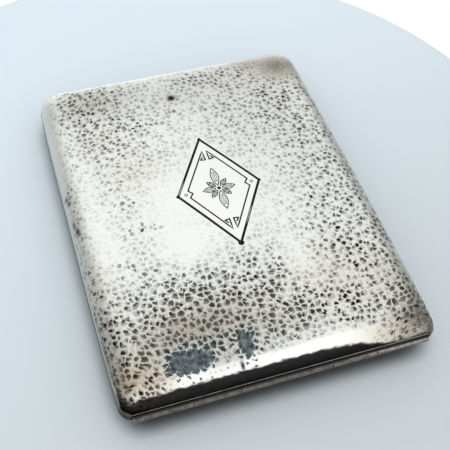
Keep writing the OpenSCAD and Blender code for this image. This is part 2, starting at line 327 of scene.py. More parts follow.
# %% [markdown]
# Where the mouth starts depends on what it meets. Beside the hinge it keeps clear of the barrel, which is
# a circle round the seam's line, and in the base the catch wall is cut down for the thumb piece. Elsewhere
# the sheet starts one rim above the seam.

# %% Height of the mouth over the seam
BARREL_REACH = BARREL_L / 2 + PLUG_T + COVE_CLEAR
ROOM_R = BARREL_R + COVE_CLEAR


def mouth_height(u, v, skin, with_slot):
    """Rim height, or the room circle's height at this skin beside the barrel, or the slot's depth."""
    straight = (HALF_W - NEAR_CORNER + NEAR_CORNER * math.pi / 4) / SHEET_U
    x = np.abs(u) * straight
    facing = SHEET_V - np.abs(v) <= SHEET_U - np.abs(u)
    barrel = math.sqrt(max(ROOM_R**2 - skin**2, RIM_H**2))
    mouth = np.where(facing & (v < 0) & (x < BARREL_REACH), barrel, RIM_H)
    if with_slot:
        mouth = np.where(facing & (v > 0) & (x < SLOT_HALF_W), SLOT_DROP, mouth)
    return mouth


# %% [markdown]
# Planishing leaves one small bowl for each blow. Bowls that meet leave a net of ridges between them, which
# is just what a Voronoi pattern is: with d the way to the nearest blow, d squared is a bowl, and the bowls
# meet in ridges. Blender's own Voronoi texture is read here at each point of the sheet, through a small
# node group, so that the bowls in the mesh and the net in the material, which reads the same texture at
# the same sheet coordinates, lie on each other.

# %% The blows of the hammer
BLOW = 1.6
BLOW_RANDOM = 0.82


def read_cells(u, v):
    """Distance to the nearest blow in units of the blow's pitch, and a random number for each blow."""
    tree = bpy.data.node_groups.new("read_cells", "GeometryNodeTree")
    for end in ("INPUT", "OUTPUT"):
        tree.interface.new_socket("Geometry", in_out=end, socket_type="NodeSocketGeometry")
    cells = add(tree, "TexVoronoi", named={
        "Vector": add(tree, "GeometryNodeInputPosition"), "Scale": 1 / BLOW, "Randomness": BLOW_RANDOM,
    }, voronoi_dimensions="2D", feature="F1")
    carried = add(tree, "NodeGroupInput")
    for name, output in (("way", "Distance"), ("lot", "Color")):
        carried = add(tree, "GeometryNodeStoreNamedAttribute", named={
            "Geometry": carried, "Name": name, "Value": cells.outputs[output],
        }, data_type="FLOAT")
    add(tree, "NodeGroupOutput", carried)
    flat = stacked(u.ravel(), v.ravel(), 0.0)
    mesh = bpy.data.meshes.new("read_cells")
    mesh.from_pydata(flat, [], [])
    probe = new_object("read_cells", mesh)
    probe.modifiers.new("cells", "NODES").node_group = tree
    seen = probe.evaluated_get(bpy.context.evaluated_depsgraph_get()).data
    result = []
    for name in ("way", "lot"):
        values = np.zeros(u.size, np.float32)
        seen.attributes[name].data.foreach_get("value", values)
        result.append(values.reshape(u.shape).astype(float))
    bpy.data.objects.remove(probe)
    bpy.data.meshes.remove(mesh)
    bpy.data.node_groups.remove(tree)
    return result


# %% [markdown]
# Age isn't even. Where the case was handled the ridges are bright and the bowls clean; elsewhere the bowls
# are grey, partly with tarnish that stayed in them and partly with painted reflection shading. A few smooth
# patches carry a painted dark reflection, dark blue-grey. Each mark is a soft round or oval spot with a
# centre, two radii and a strength, in millimetres on the lid, and a field is the sum of its spots.

# %% Marks of age and painted reflections, as x, y, radius along x, radius along y, strength
PIT_SPOTS = [
    (-25, 40, 9, 8, 0.45), (-24, 33, 6, 3, 0.3), (-14, 28, 5, 4, 0.75), (-26, 21, 8, 3, 0.6),
    (-26, 11, 6, 4, 0.4), (-24, 3, 4, 3, 0.85), (-22, -6, 6, 4, 0.9), (-32, -16, 5, 5, 0.55),
    (-24, -18, 7, 3, 0.4), (-37.5, 2, 1.8, 16, 0.6), (25, 32, 8, 4, 0.55), (7, 30, 10, 2.5, 0.25),
    (30, 18, 5, 9, 0.35), (17, 5, 5, 9, 0.3), (22, -9, 5, 5, 0.55), (22, -17, 8, 5, 0.5),
    (25, -25, 8, 5, 0.9), (14, -38, 7, 3, 0.95), (17, -43, 10, 3.5, 0.85), (-9, -25, 12, 5, 0.45),
    (2, -31, 10, 7, 0.45), (-20, -33, 16, 5, 0.5), (8, 43, 8, 4, 0.2), (37, -18, 2, 12, 0.6),
    (-36, -32, 3, 12, 0.4), (29, -33, 6, 6, 0.45), (-37.5, -34, 3, 14, 0.35), (35, -46, 5, 6, 0.8),
    (29, -49.5, 5, 2, 0.9), (-33, -46.5, 5.5, 4.5, 0.8),
]
GREY_SPOTS = [
    (-25, 41, 9, 7, 0.5), (-25, 26, 11, 9, 0.15), (8, 43, 10, 5, 0.25), (27, 31, 9, 9, 0.25),
    (-22, -32, 18, 7, 0.5), (-20, -42, 18, 6, 0.7), (-4, -40, 10, 7, 0.5), (8, -42, 12, 5, 0.35),
    (22, -40, 9, 6, 0.3), (31, -28, 7, 14, 0.3), (-36, -40, 4, 9, 0.3), (34, -8, 4, 22, 0.25),
    (-3, -30, 16, 8, 0.95), (0, 43, 34, 5, 0.2), (24, 16, 14, 26, 0.2), (-24, -30, 12, 8, 0.5),
    (-38, -34, 3, 18, 0.2), (34, -45, 7, 7, 1.2), (-21, -24, 5, 4, 0.5), (-17, -39, 9, 4, 0.5),
    (-13, -45, 5, 2.5, 0.6), (-32.5, -46.5, 5.5, 4.5, 1.1),
]
CLEAN_SPOTS = [
    (-1, 1, 15, 19, 0.9), (-16, -3, 8, 15, 0.6), (-13, -16, 10, 6, 0.5), (11, -11, 7, 7, 0.3),
    (-5, 26, 9, 7, 0.25), (-33, -10, 5, 13, 0.6), (-34, 14, 3, 14, 0.4), (-30, 0, 8, 24, 0.35),
    (6, 38, 20, 8, 0.3), (12, -26, 5, 8, 0.75), (19, -22, 4, 12, 0.3), (17, 8, 6, 16, 0.35),
    (-9, 42, 8, 5, 0.4), (3, 49, 26, 3, 0.35),
]
# Painted reflections of a dark object in smooth worn patches.
SLATE_REFLECTION_PATCHES = [
    (-21.4, -45, 5.6, 3.0, 1.5), (-7.7, -44.4, 1.7, 3.4, 1.4), (-19, -42, 10, 4.5, 0.22),
    (-9, -41, 5, 4.5, 0.25),
]
SMOOTH_PATCHES = [
    (31.5, 43.5, 6.5, 5, 1.2), (-21.4, -45.2, 5.0, 2.4, 1.1), (-7.7, -44.4, 1.4, 2.8, 1.1),
    (0, 51, 70, 3.4, 1.4), (0, -49.6, 20, 2.2, 1.5), (13, -50, 8, 2.4, 1.3), (-17, -49.3, 9, 1.9, 1.3),
    (-40, 36, 3.4, 24, 1.4),
]
FILM_SPOTS = [
    (32, 43, 6, 5, 0.8), (23, 46, 5, 3, 0.3), (-26, 41, 10, 6, 0.3), (36, -40, 5, 9, 0.4),
    (37.5, 0, 2, 40, 0.3), (-39.5, 0, 3.2, 60, 0.48), (-39, -40, 3.4, 14, 0.35), (35, -48, 6, 4, 0.45),
    (-20, 51.8, 60, 2.2, 0.35), (22, 22, 20, 26, 0.16), (0, 40, 34, 10, 0.22), (-19, -38, 14, 6, 0.5),
    (-14, -46, 6, 3, 0.3), (33, -50, 9, 3.5, 0.45), (0, -42, 10, 5, 0.2),
]
WARM_SPOTS = [
    (-36, -21, 5, 9, 0.2), (-33, -46, 8, 5, 1.0), (26, -50, 9, 2.4, 0.5), (31, 43, 9, 6, 0.4),
    (-20, 13, 9, 7, 0.2), (-27, 26, 5, 3, 0.3), (22, -34, 14, 12, 0.35), (-14, -36, 16, 6, 0.45),
]
STAINS = [
    (-2.8, 37.2, 1.05, 1.1, 1.6), (-10.1, -48.9, 0.4, 1.0, 1.3), (5.4, 16, 0.4, 0.5, 0.7),
    (31.2, -47.9, 0.9, 0.3, 0.9), (32.9, -48.2, 0.7, 0.3, 0.9), (34.0, -49.4, 0.4, 0.8, 0.9),
    (-38.6, 10.5, 0.45, 0.9, 0.9), (-38.2, 8.6, 0.5, 0.7, 0.9), (-38.4, 1.6, 0.4, 1.3, 0.8),
    (-37.9, -1, 0.6, 1.1, 1), (25.2, -51.9, 0.8, 0.35, 1.2), (27.2, -51.8, 0.6, 0.35, 1.1),
    (29.0, -51.4, 0.6, 0.3, 1.1),
]
CREASE_DEPTH, CREASE_R = 0.12, 0.55
CREASE = [(34.6, 29.5), (36.6, 25.2), (37.9, 23.9)]


def field(spots, x, y):
    """Sum of strength * exp(-(dx / rx)^2 - (dy / ry)^2) over the spots, kept between 0 and 1."""
    total = np.zeros_like(x)
    for cx, cy, rx, ry, strength in spots:
        total += strength * np.exp(-(((x - cx) / rx) ** 2) - ((y - cy) / ry) ** 2)
    return np.clip(total, 0, 1)


def smooth_step(low, high, value):
    """0 below low, 1 above high, and 3 t^2 - 2 t^3 between them."""
    t = np.clip((value - low) / (high - low), 0, 1)
    return t * t * (3 - 2 * t)


# %% [markdown]
# The lozenge in the middle of the lid is engraved, so nobody hammered inside it. Its half widths are known
# from the photo, and the distance to its nearest side is a dot product with that side's normal.

# %% The lozenge on the lid
LOZENGE_X, LOZENGE_Y = 11.07, 18.19
LOZENGE_CENTRE = 0.65
LOZENGE_NORMAL = np.array([LOZENGE_Y, LOZENGE_X]) / math.hypot(LOZENGE_X, LOZENGE_Y)


def outside_lozenge(x, y):
    """Distance outside the lozenge's nearest side, in millimetres, negative inside."""
    return (np.abs(x) - LOZENGE_X) * LOZENGE_NORMAL[0] + np.abs(y - LOZENGE_CENTRE) * LOZENGE_NORMAL[1]


# %% [markdown]
# Now the hammered height. Each bowl is deeper or shallower by its own lot, whole areas are worked harder
# than others, and the marks fade on the curled edge, which was pressed, and inside the lozenge. A slow
# swell of a few hundredths of a millimetre keeps the panel from looking like a machined dome.

# %% Height of the hammered surface
BOWL_DEPTH, BOWL_CURVE, BOWL_TOP = 0.075, 1.6, 1.3
LOT_LEAST, LOT_SPAN = 0.55, 0.75
SWELL, SWELL_WAVES, SWELL_LENGTHS = 0.05, 9, (14, 34)


def swell(u, v):
    """Sum of a few slow sine waves across the sheet, between about -1 and 1."""
    rng = np.random.default_rng(7)
    total = np.zeros_like(u)
    for _ in range(SWELL_WAVES):
        length = rng.uniform(*SWELL_LENGTHS)
        heading, phase = rng.uniform(0, 2 * math.pi), rng.uniform(0, 2 * math.pi)
        total += np.sin((u * math.cos(heading) + v * math.sin(heading)) * 2 * math.pi / length + phase)
    return total / 4


def worked(m, x, y):
    """How hard the sheet was beaten: 0 on the pressed edge, which is wider towards the catch, 1 beyond it,
    and less in the smooth patches."""
    start = 0.6 + 2.6 * smooth_step(-8, 22, y)
    return smooth_step(start, start + 2.2, m) * (1 - field(SMOOTH_PATCHES, x, y))


def crease(x, y):
    """Shallow groove: -depth * exp(-(distance to the nearest of its straight parts / radius)^2)."""
    nearest = np.full_like(x, 99.0)
    for (ax, ay), (bx, by) in zip(CREASE[:-1], CREASE[1:]):
        run = np.array([bx - ax, by - ay])
        t = np.clip(((x - ax) * run[0] + (y - ay) * run[1]) / (run @ run), 0, 1)
        nearest = np.minimum(nearest, np.hypot(x - ax - t * run[0], y - ay - t * run[1]))
    return -CREASE_DEPTH * np.exp(-((nearest / CREASE_R) ** 2))


def hammered(u, v, m, x, y, on_lid):
    """Height along the normal in millimetres: bowl depth * (curve * d^2 - 1) times the local strength."""
    way, lot = read_cells(u, v)
    bowl = np.clip(BOWL_CURVE * way**2, 0, BOWL_TOP) - 1
    side = 1 if on_lid else -1
    strength = (LOT_LEAST + LOT_SPAN * lot) * worked(m, side * x, side * y)
    slow = SWELL * swell(u, v) * smooth_step(2.5, ARC + 1.5, m)
    if on_lid:
        strength *= smooth_step(0.3, 1.8, outside_lozenge(x, y))
        slow *= smooth_step(-3, 6, outside_lozenge(x, y))
        slow += crease(x, y)
    return BOWL_DEPTH * bowl * strength + slow


# %% [markdown]
# The outer skin is a fine grid and the inner skin one in four of its lines, because only the outside is
# hammered. At the mouth each coarse edge meets four fine ones, in a small fan. The result is one closed
# shell. Normals of the smooth surface come from the grid's own differences.

# %% A hammered shell
LINES_U, LINES_V = 248, 320
COARSE = 4
MOUTH_FADE, RIDGE_TOP = 1.2, 0.02


def border(rows, columns):
    """Numbers of a grid's outer points, once round."""
    n = np.arange(rows * columns).reshape(rows, columns)
    return np.concatenate([n[0], n[1:, -1], n[-1, -2::-1], n[-2:0:-1, 0]]).tolist()


def fan_between(fine, coarse, step):
    """Triangles of the flat mouth between a fine border and a coarse one."""
    faces, n = [], len(fine)
    for k in range(len(coarse)):
        here, after = coarse[k], coarse[(k + 1) % len(coarse)]
        ring = [fine[(k * step + i) % n] for i in range(step + 1)]
        half = step // 2
        faces += [[ring[i], ring[i + 1], here] for i in range(half)]
        faces.append([ring[half], after, here])
        faces += [[ring[i], ring[i + 1], after] for i in range(half, step)]
    return faces


def sheet_lines(count_u, count_v):
    """Sheet coordinates of a grid that covers the whole sheet."""
    u = np.linspace(-SHEET_U, SHEET_U, count_u + 1)
    v = np.linspace(-SHEET_V, SHEET_V, count_v + 1)
    return np.meshgrid(u, v)


def hammered_shell(name, rise, flat, on_lid):
    """Closed shell, hammered outside and smooth inside, its sheet coordinates and its skins' face counts."""
    u, v = sheet_lines(LINES_U, LINES_V)
    outer = tray(u, v, 0.0, rise, flat, mouth_height(u, v, 0.0, not on_lid))
    m = np.minimum(SHEET_U - np.abs(u), SHEET_V - np.abs(v))
    normal = np.cross(np.gradient(outer, axis=1), np.gradient(outer, axis=0))
    normal /= np.linalg.norm(normal, axis=-1, keepdims=True)
    height = hammered(u, v, m, outer[..., 0], outer[..., 1], on_lid)
    height = np.minimum(height * smooth_step(0, MOUTH_FADE, m), RIDGE_TOP)
    outer = outer + normal * height[..., None]
    cu, cv = sheet_lines(LINES_U // COARSE, LINES_V // COARSE)
    inner = tray(cu, cv, WALL, rise, flat, mouth_height(cu, cv, WALL, not on_lid))
    points = np.concatenate([outer.reshape(-1, 3), inner.reshape(-1, 3)])
    points[:, 2] = SEAM + points[:, 2] * (1 if on_lid else -1)
    outside, inside = grid_quads(*u.shape), grid_quads(*cu.shape)
    faces = outside + [[i + u.size for i in quad] for quad in inside]
    inner_border = [i + u.size for i in border(*cu.shape)]
    faces += fan_between(border(*u.shape), inner_border, COARSE)
    piece = mesh_object(name, points, faces, sharp=60, merge=0)
    sheet = np.concatenate([stacked(a.ravel(), b.ravel()) for a, b in ((u, v), (cu, cv))])
    return piece, sheet, len(outside), len(inside)


def set_sheet_map(piece, sheet):
    """UV map in millimetres of sheet: each face corner takes its point's u and v."""
    corner_points = np.zeros(len(piece.data.loops), np.int32)
    piece.data.loops.foreach_get("vertex_index", corner_points)
    layer = piece.data.uv_layers.new(name="sheet")
    layer.data.foreach_set("uv", sheet[corner_points].astype(np.float32).ravel())


def set_field(piece, name, values):
    """Stores one number for each point, which a material reads by name."""
    layer = piece.data.attributes.new(name, "FLOAT", "POINT")
    layer.data.foreach_set("value", values.astype(np.float32))


# %% [markdown]
# Hammered silver: a sheet of sterling, beaten cold with a polished hammer and then left to age. What the
# eye gets is a bright net of ridges, greyer bowls between them, and black where tarnish filled the
# deepest ones. Here the bowls' grey is partly tarnish and partly painted reflection shading, and a few smooth
# patches carry a painted dark reflection. Silver has a very light reflection with a hint of yellow. The
# shader is a metal whose colour and roughness change with the cells of the same Voronoi texture that shaped
# the mesh.

# %% Hammered silver
SILVER = linear("#f8faf3")
# Grey of the bowls: partly tarnish, partly painted reflection shading.
BOWL_TARNISH_AND_SHADE = linear("#5e5d55")
# Black of tarnish in the pits, also used for the painted shade and dirt along the rims' seam.
TARNISH_AND_SEAM_SHADE = linear("#2d2723")
# Colours of the painted dark reflection in the smooth patches.
SLATE_REFLECTION_DARK, SLATE_REFLECTION_PALE = linear("#2b3539"), linear("#6c797b")
FILM = linear("#7d776b")
WARM = linear("#cdae84")
# Rust brown of the stains, also used for the painted shade and dirt along the seam.
RUST_AND_SEAM_SHADE = linear("#2c1f18")
PIT_ASIDE, WOBBLE, BUMP_DEPTH = 0.75, 1.1, 0.05


def hammered_silver():
    """Metal with a bright net, grey bowls, black pits, painted dark reflections, and stains and painted seam
    shade read from the mesh's fields. The bowls' grey is partly painted reflection shading. A pit is the
    share of a bowl within its own radius of a point that lies off the bowl's centre by its own lot."""
    material, tree, shader = new_material("hammered_sterling_silver")
    node = partial(add, tree)
    work, pits, greys, films, slate_reflections, warm, stain_and_seam_shade = [
        node("Attribute", attribute_name=name, attribute_type="GEOMETRY").outputs["Fac"]
        for name in ("work", "pits", "grey", "film", "slate_reflection", "warm", "stain_and_seam_shade")
    ]
    sheet = node("UVMap", uv_map="sheet")
    wobble = node("TexNoise", sheet, 0.9, 2.0, **FLAT)
    flecks = node("TexNoise", sheet, 2.2, 2.0, 0.6, **FLAT)
    middle_grey = (0.5, 0.5, 0.5)
    off = node("VectorMath SUBTRACT", wobble.outputs["Color"], middle_grey)
    bent = node("VectorMath MULTIPLY_ADD", off, (WOBBLE, WOBBLE, 0), sheet)
    near, second = [
        node("TexVoronoi", named={"Vector": bent, "Scale": 1 / BLOW, "Randomness": BLOW_RANDOM},
             voronoi_dimensions="2D", feature=feature)
        for feature in ("F1", "F2")
    ]
    off_net = node("Math SUBTRACT", second, near)
    lots = node("SeparateColor", near.outputs["Color"]).outputs

    # Bowls: grey by area, by the bowl's own lot, and least at the ragged rim; the grey is partly tarnish and
    # partly painted reflection shading, darkest round a point off each bowl's centre.
    aside = node("VectorMath SUBTRACT", near.outputs["Color"], middle_grey)
    centre = node("VectorMath MULTIPLY_ADD", aside, (PIT_ASIDE, PIT_ASIDE, 0), near.outputs["Position"])
    way = node("VectorMath DISTANCE", bent, centre)
    ragged = node("Math MULTIPLY_ADD", flecks, 0.6, way)
    inner = node("Math MULTIPLY_ADD", flecks, -0.2, off_net)
    bowl = node("MapRange", inner, -0.04, 0.26, 0.26, **SMOOTH)
    own_grey = node("MapRange", lots[1], 0, 1, 0.45, 1.45)
    shaded = node("MapRange", ragged, 0.45, 1.05, 1.2, 0.5)
    grey = node("Math MULTIPLY", node("Math MULTIPLY", greys, own_grey), node("Math MULTIPLY", bowl, shaded),
                use_clamp=True)
    silver = node("Mix", grey, SILVER, BOWL_TARNISH_AND_SHADE, **COLOUR)

    # Films of tarnish over whole areas, and a warm tint.
    patchy = node("MapRange", flecks, 0.3, 0.7, 0.6, 1.3)
    film = node("Math MULTIPLY", films, patchy, use_clamp=True)
    filmed = node("Mix", film, silver, FILM, **COLOUR)
    stained = node("Mix", warm, filmed, WARM, blend_type="MULTIPLY", **COLOUR)

    # Pits: in the bowls whose lot is below the field.
    chosen = node("MapRange", node("Math SUBTRACT", pits, lots[0]), -0.45, 0.4)
    radius = node("Math MULTIPLY_ADD", lots[2], 0.36, 0.58)
    core = node("MapRange", node("Math SUBTRACT", radius, ragged), -0.16, 0.2, **SMOOTH)
    pit = node("Math MULTIPLY", core, chosen)
    pitted = node("Mix", pit, stained, TARNISH_AND_SEAM_SHADE, **COLOUR)

    # Painted reflections of a dark object, blue-grey patches whose border follows whole bowls.
    own = node("Math MULTIPLY_ADD", lots[1], 0.45, slate_reflections)
    mottled = node("Math MULTIPLY_ADD", flecks, 0.5, own)
    netted = node("Math MULTIPLY_ADD", off_net, 0.9, mottled)
    patch = node("MapRange", netted, 1.1, 1.3, 0, 0.95, **SMOOTH)
    covered = node("Math MULTIPLY", patch, node("Math MULTIPLY", slate_reflections, 8.0, use_clamp=True))
    shade = node("MapRange", node("Math MULTIPLY_ADD", near, 0.45, wobble), 0.5, 0.95)
    slate_reflection = node("Mix", shade, SLATE_REFLECTION_DARK, SLATE_REFLECTION_PALE, **COLOUR)
    patched = node("Mix", covered, pitted, slate_reflection, **COLOUR)
    # Stains, and painted shade and dirt along the seam's gap, in rust brown.
    colour = node("Mix", stain_and_seam_shade, patched, RUST_AND_SEAM_SHADE, **COLOUR)

    # Tarnish is rougher than bare silver, and the sheet is never quite even.
    rough = node("Math MULTIPLY_ADD", pit, 0.35, node("MapRange", grey, 0, 1, 0.14, 0.34))
    beaten = node("Math MULTIPLY", node("Math POWER", near, 2.0), work)
    planished = node("TexNoise", sheet, 0.4, 1.0)
    height = node("Math MULTIPLY_ADD", planished, 6.0, beaten)
    bump = node("Bump", named={"Height": height, "Strength": 0.4, "Distance": BUMP_DEPTH * MM})
    fill(tree, shader, {"Base Color": colour, "Roughness": rough, "Normal": bump, "Metallic": 1.0})
    return material


hammered_finish = hammered_silver()

# %% [markdown]
# Gilt: a thin wash of gold over silver, as on the inside of most good cases, where tobacco would stain
# bare silver. It is satin rather than bright, and shows a little silver where hands have rubbed it.


# %% Gilt, plain silver, spring steel
GRAIN_W, GRAIN_DEPTH = 0.12, 0.01
# Reach of the painted shade and dirt along the seam, and of the darkening beside the hinge.
SEAM_REACH = (0.8, 0.5)
HINGE_REACH = (1.6, 0.9)
TOP_FADE = 0.2
# Black of the painted shade on the barrel's top.
TOP_SHADE_BLACK = linear("#0a0807")


def worn_metal(name, main, worn, wear_size, rough_low, rough_high, grain,
               dirty_and_shaded_seam=False, shaded_top=0, metallic=1.0):
    """Metal whose colour and roughness drift with a noise of wear_size, with fine grain along X. Along a seam
    it is black within half a millimetre of the seam's height, partly dirt and partly painted shade of the
    seam's gap, and darker beside the hinge. Given a top height, it is painted black from there up, as shade
    on the barrel's top under the lid's edge. A thick film of tarnish makes it less metallic."""
    material, tree, shader = new_material(name)
    node = partial(add, tree)
    place = node("TexCoord").outputs["Object"]
    drift = node("TexNoise", place, 1 / (wear_size * MM), 5.0, 0.62)
    stretch = node("Mapping", place, named={"Scale": (0.06, 1.0, 1.0)})
    lines = node("TexNoise", stretch, 1 / (GRAIN_W * MM), 2.0)
    colour = node("Mix", node("MapRange", drift, 0.42, 0.72), linear(main), linear(worn), **COLOUR)
    # Painted shade and dirt: black along the seam's gap, and darker beside the hinge.
    if dirty_and_shaded_seam:
        part = node("SeparateXYZ", place).outputs
        off_seam = node("Math ABSOLUTE", node("Math SUBTRACT", part[2], SEAM * MM))
        seam_dirt_and_shade = node("MapRange", off_seam, *(d * MM for d in SEAM_REACH), 0, 0.93, **SMOOTH)
        by_hinge = node("MapRange", part[1], *((d - HALF_L) * MM for d in HINGE_REACH), 0, 0.7)
        colour = node("Mix", node("Math MAXIMUM", seam_dirt_and_shade, by_hinge), colour, TARNISH_AND_SEAM_SHADE, **COLOUR)
    # Painted shade: black from the given height up, on the barrel's top under the lid's edge.
    if shaded_top:
        height = node("SeparateXYZ", place).outputs[2]
        top_shade = node("MapRange", height, shaded_top * MM, (shaded_top + TOP_FADE) * MM, 0, 0.96, **SMOOTH)
        colour = node("Mix", top_shade, colour, TOP_SHADE_BLACK, **COLOUR)
    rough = node("MapRange", drift, 0.3, 0.7, rough_low, rough_high)
    bump = node("Bump", named={"Height": lines, "Strength": grain, "Distance": GRAIN_DEPTH * MM})
    fill(tree, shader, {"Base Color": colour, "Roughness": rough, "Normal": bump, "Metallic": metallic})
    return material


plain_finish = worn_metal("drawn_silver_wire", "#eae7e0", "#a39d92", 2.5, 0.16, 0.34, 0.25)
rim_finish = worn_metal("drawn_silver_wire_with_dirty_and_shaded_seam", "#e2ded6", "#9a9489", 2.5, 0.16, 0.34, 0.25,
                        dirty_and_shaded_seam=True)
# The barrel's top is painted black, as shade under the lid's edge.
hinge_finish = worn_metal("tarnished_silver_tube_with_painted_top_shade", "#a59d92", "#5f574f", 1.6, 0.15, 0.3, 0.2,
                          shaded_top=SEAM + 0.72, metallic=0.5)
gilt_finish = worn_metal("gilt_wash_on_silver", "#e6c07a", "#dfc188", 14.0, 0.24, 0.4, 0.15)
steel_finish = worn_metal("rolled_spring_steel", "#9a9da2", "#6f6a62", 4.0, 0.25, 0.45, 0.5)


# %% [markdown]
# Both trays are made by the same steps. The fields of age, of painted reflection and of painted shade along
# the seam are worked out for each point of the sheet and stored in the mesh, where the silver's shader finds
# them by name. The back is given the lid's marks turned round, without the painted dark reflections and the
# stains, but with the painted shade along the seam. The inner skin gets the gilt, face by face.


# %% The two shells
def make_shell(name, rise, flat, on_lid, body, node):
    """Makes one hammered shell, stores its sheet map, its marks of age, its painted reflections and its
    painted seam shade, and dresses it.
    """
    piece, sheet, outer_faces, inner_faces = hammered_shell(name, rise, flat, on_lid)
    set_sheet_map(piece, sheet)
    place = np.zeros(len(piece.data.vertices) * 3, np.float32)
    piece.data.vertices.foreach_get("co", place)
    side = 1 if on_lid else -1
    x, y = side * place[0::3] / MM, side * place[1::3] / MM
    m = np.minimum(SHEET_U - np.abs(sheet[:, 0]), SHEET_V - np.abs(sheet[:, 1]))
    work = worked(m, x, y) * (smooth_step(0.2, 1.0, outside_lozenge(x, y)) if on_lid else 1)
    dirty = 1 - field(CLEAN_SPOTS, x, y)
    # Painted shade and dirt along the mouth, standing for the seam's gap: dark within about a millimetre of
    # it, wider at the near corners.
    by_corner = np.exp(-(((np.abs(x) - 38) / 4.5) ** 2) - ((y + 50) / 3.5) ** 2)
    seam_dirt_and_shade = smooth_step(1, 0, (m - 0.1) / (0.9 + 3.2 * by_corner))
    for field_name, values in {
        "work": work,
        "pits": (field(PIT_SPOTS, x, y) * (0.5 + 0.5 * dirty) + 0.45 * dirty) * work - 0.45,
        "grey": (0.68 + 0.65 * field(GREY_SPOTS, x, y)) * (0.05 + 0.95 * dirty) * work,
        "film": field(FILM_SPOTS, x, y),
        "slate_reflection": field(SLATE_REFLECTION_PATCHES, x, y) * on_lid,
        "warm": 0.6 * field(WARM_SPOTS, x, y),
        "stain_and_seam_shade": np.maximum(field(STAINS, x, y) * on_lid, 0.9 * seam_dirt_and_shade),
    }.items():
        set_field(piece, field_name, values)
    dress(piece, hammered_finish, body, "hammered_silver", node)
    piece.data.materials.append(gilt_finish)
    which = np.zeros(len(piece.data.polygons), np.int32)
    which[outer_faces : outer_faces + inner_faces] = 1
    piece.data.polygons.foreach_set("material_index", which)


make_shell("lid_hammered_shell", LID_RISE, 0.0, True, "lid", "lid_shell")
make_shell("base_hammered_shell", BASE_DEPTH, 0.5, False, "base", "base_shell")

# %% [markdown]
# Each mouth is stiffened with square wire, bent to the outline and soldered on. A swept profile is the
# natural way to make it: the path is the outline, and the profile is a small square with worn corners.
# The hinge barrel takes the wire's place along the near side, and the thumb piece breaks it in the base.


# %% Paths round the case
def half_outline(inset, gate, near_cut=0, start_y=-math.inf):
    """Right half of the rounded outline at an inset, from the hinge side to x = gate at the catch side. On
    the hinge side only points beyond x = near_cut are kept, and none with y under start_y."""
    hw, hl = HALF_W - inset, HALF_L - inset
    share = min(1, inset / EDGE_R)
    rn = NEAR_CORNER + (TOP_CORNER - NEAR_CORNER) * share
    rf = FAR_CORNER + (TOP_CORNER - FAR_CORNER) * share
    near = arc(hw - rn, -hl + rn, rn, rn, -90, 0, 17)
    long_side = stacked(hw, np.linspace(-hl + rn, hl - rf, 71))[1:-1]
    far = arc(hw - rf, hl - rf, rf, rf, 0, 90, 25)
    short_side = stacked(np.linspace(hw - rf, gate, 31), hl)[1:]
    path = np.concatenate([near, long_side, far, short_side])
    path[:, 0] *= 1 - SIDE_BOW / (2 * HALF_W) * (path[:, 1] / HALF_L) ** 4
    return path[((path[:, 0] > near_cut) | (path[:, 1] > 0)) & (path[:, 1] >= start_y)]


def mirrored(path):
    """The path with its first number negated, run from its end back to its start."""
    return (path * [-1, 1])[::-1]


def level_sweep(path, z, profile):
    """Sweep along a level path: the profile's first number runs outwards and its second up."""
    along = directions(path)
    out = stacked(along[:, 1], -along[:, 0], 0.0)
    return sweep(stacked(path[:, 0], path[:, 1], z), profile, out)


def both_halves(path, z, profile):
    """The level sweep along a path, and the one along its mirror image."""
    return [level_sweep(path, z, profile), level_sweep(mirrored(path), z, profile)]


# %% The two rims
RIM_PROUD = 0.06
EDGING_R = 0.19
EDGING_UP = 1.36
rim_height = RIM_H - SEAM_GAP / 2
rim_profile = rounded_bar(WALL + RIM_PROUD, rim_height, 0.2) + [-WALL / 2 + RIM_PROUD / 2, 0]


def edging(up):
    """Half-sunk wire along the mouth over the barrel, above the seam in the lid and below it in the base."""
    x = np.linspace(-BARREL_REACH + 0.3, BARREL_REACH - 0.3, 90)
    inset = EDGE_R - math.sqrt(EDGE_R**2 - EDGING_UP**2)
    path = stacked(x, -HALF_L + inset, SEAM + up * EDGING_UP)
    return sweep(path, ring_of(EDGING_R))


whole = half_outline(0, 0, near_cut=BARREL_REACH)
whole = np.concatenate([whole, mirrored(whole)[1:]])
half = half_outline(0, SLOT_HALF_W, near_cut=BARREL_REACH)
rim_z = SEAM_GAP / 2 + rim_height / 2
for body, parts in (
    ("lid", [level_sweep(whole, SEAM + rim_z, rim_profile), edging(1)]),
    ("base", both_halves(half, SEAM - rim_z, rim_profile) + [edging(-1)]),
):
    rim = mesh_object(body + "_rim_wire", *joined(parts))
    dress(rim, rim_finish, body, "plain_silver", body + "_rim")

# %% [markdown]
# Inside the base's rim stands the bezel, a thin gilt strip that the lid closes over. It is swept the same
# way, with a foot that is soldered to the rim and a top edge that is rounded so that it guides the lid.

# %% The bezel
BEZEL_IN, BEZEL_T, BEZEL_H = 1.1, 0.4, 1.0
BEZEL_START = 10.0
BEZEL_GATE = 16.4
bezel_profile = np.array([
    (0.5, -RIM_H), (0.5, -SEAM_GAP / 2), (0.2, -SEAM_GAP / 2), (0.2, BEZEL_H - 0.15),
    (0.12, BEZEL_H - 0.03), (0, BEZEL_H), (-0.12, BEZEL_H - 0.03), (-0.2, BEZEL_H - 0.15), (-0.2, -RIM_H),
])
bezel_path = half_outline(BEZEL_IN + BEZEL_T / 2, BEZEL_GATE, start_y=-HALF_L + BEZEL_START)
bezel = mesh_object("standing_bezel", *joined(both_halves(bezel_path, SEAM, bezel_profile)), sharp=50)
dress(bezel, gilt_finish, "base", "gilt", "base_bezel")

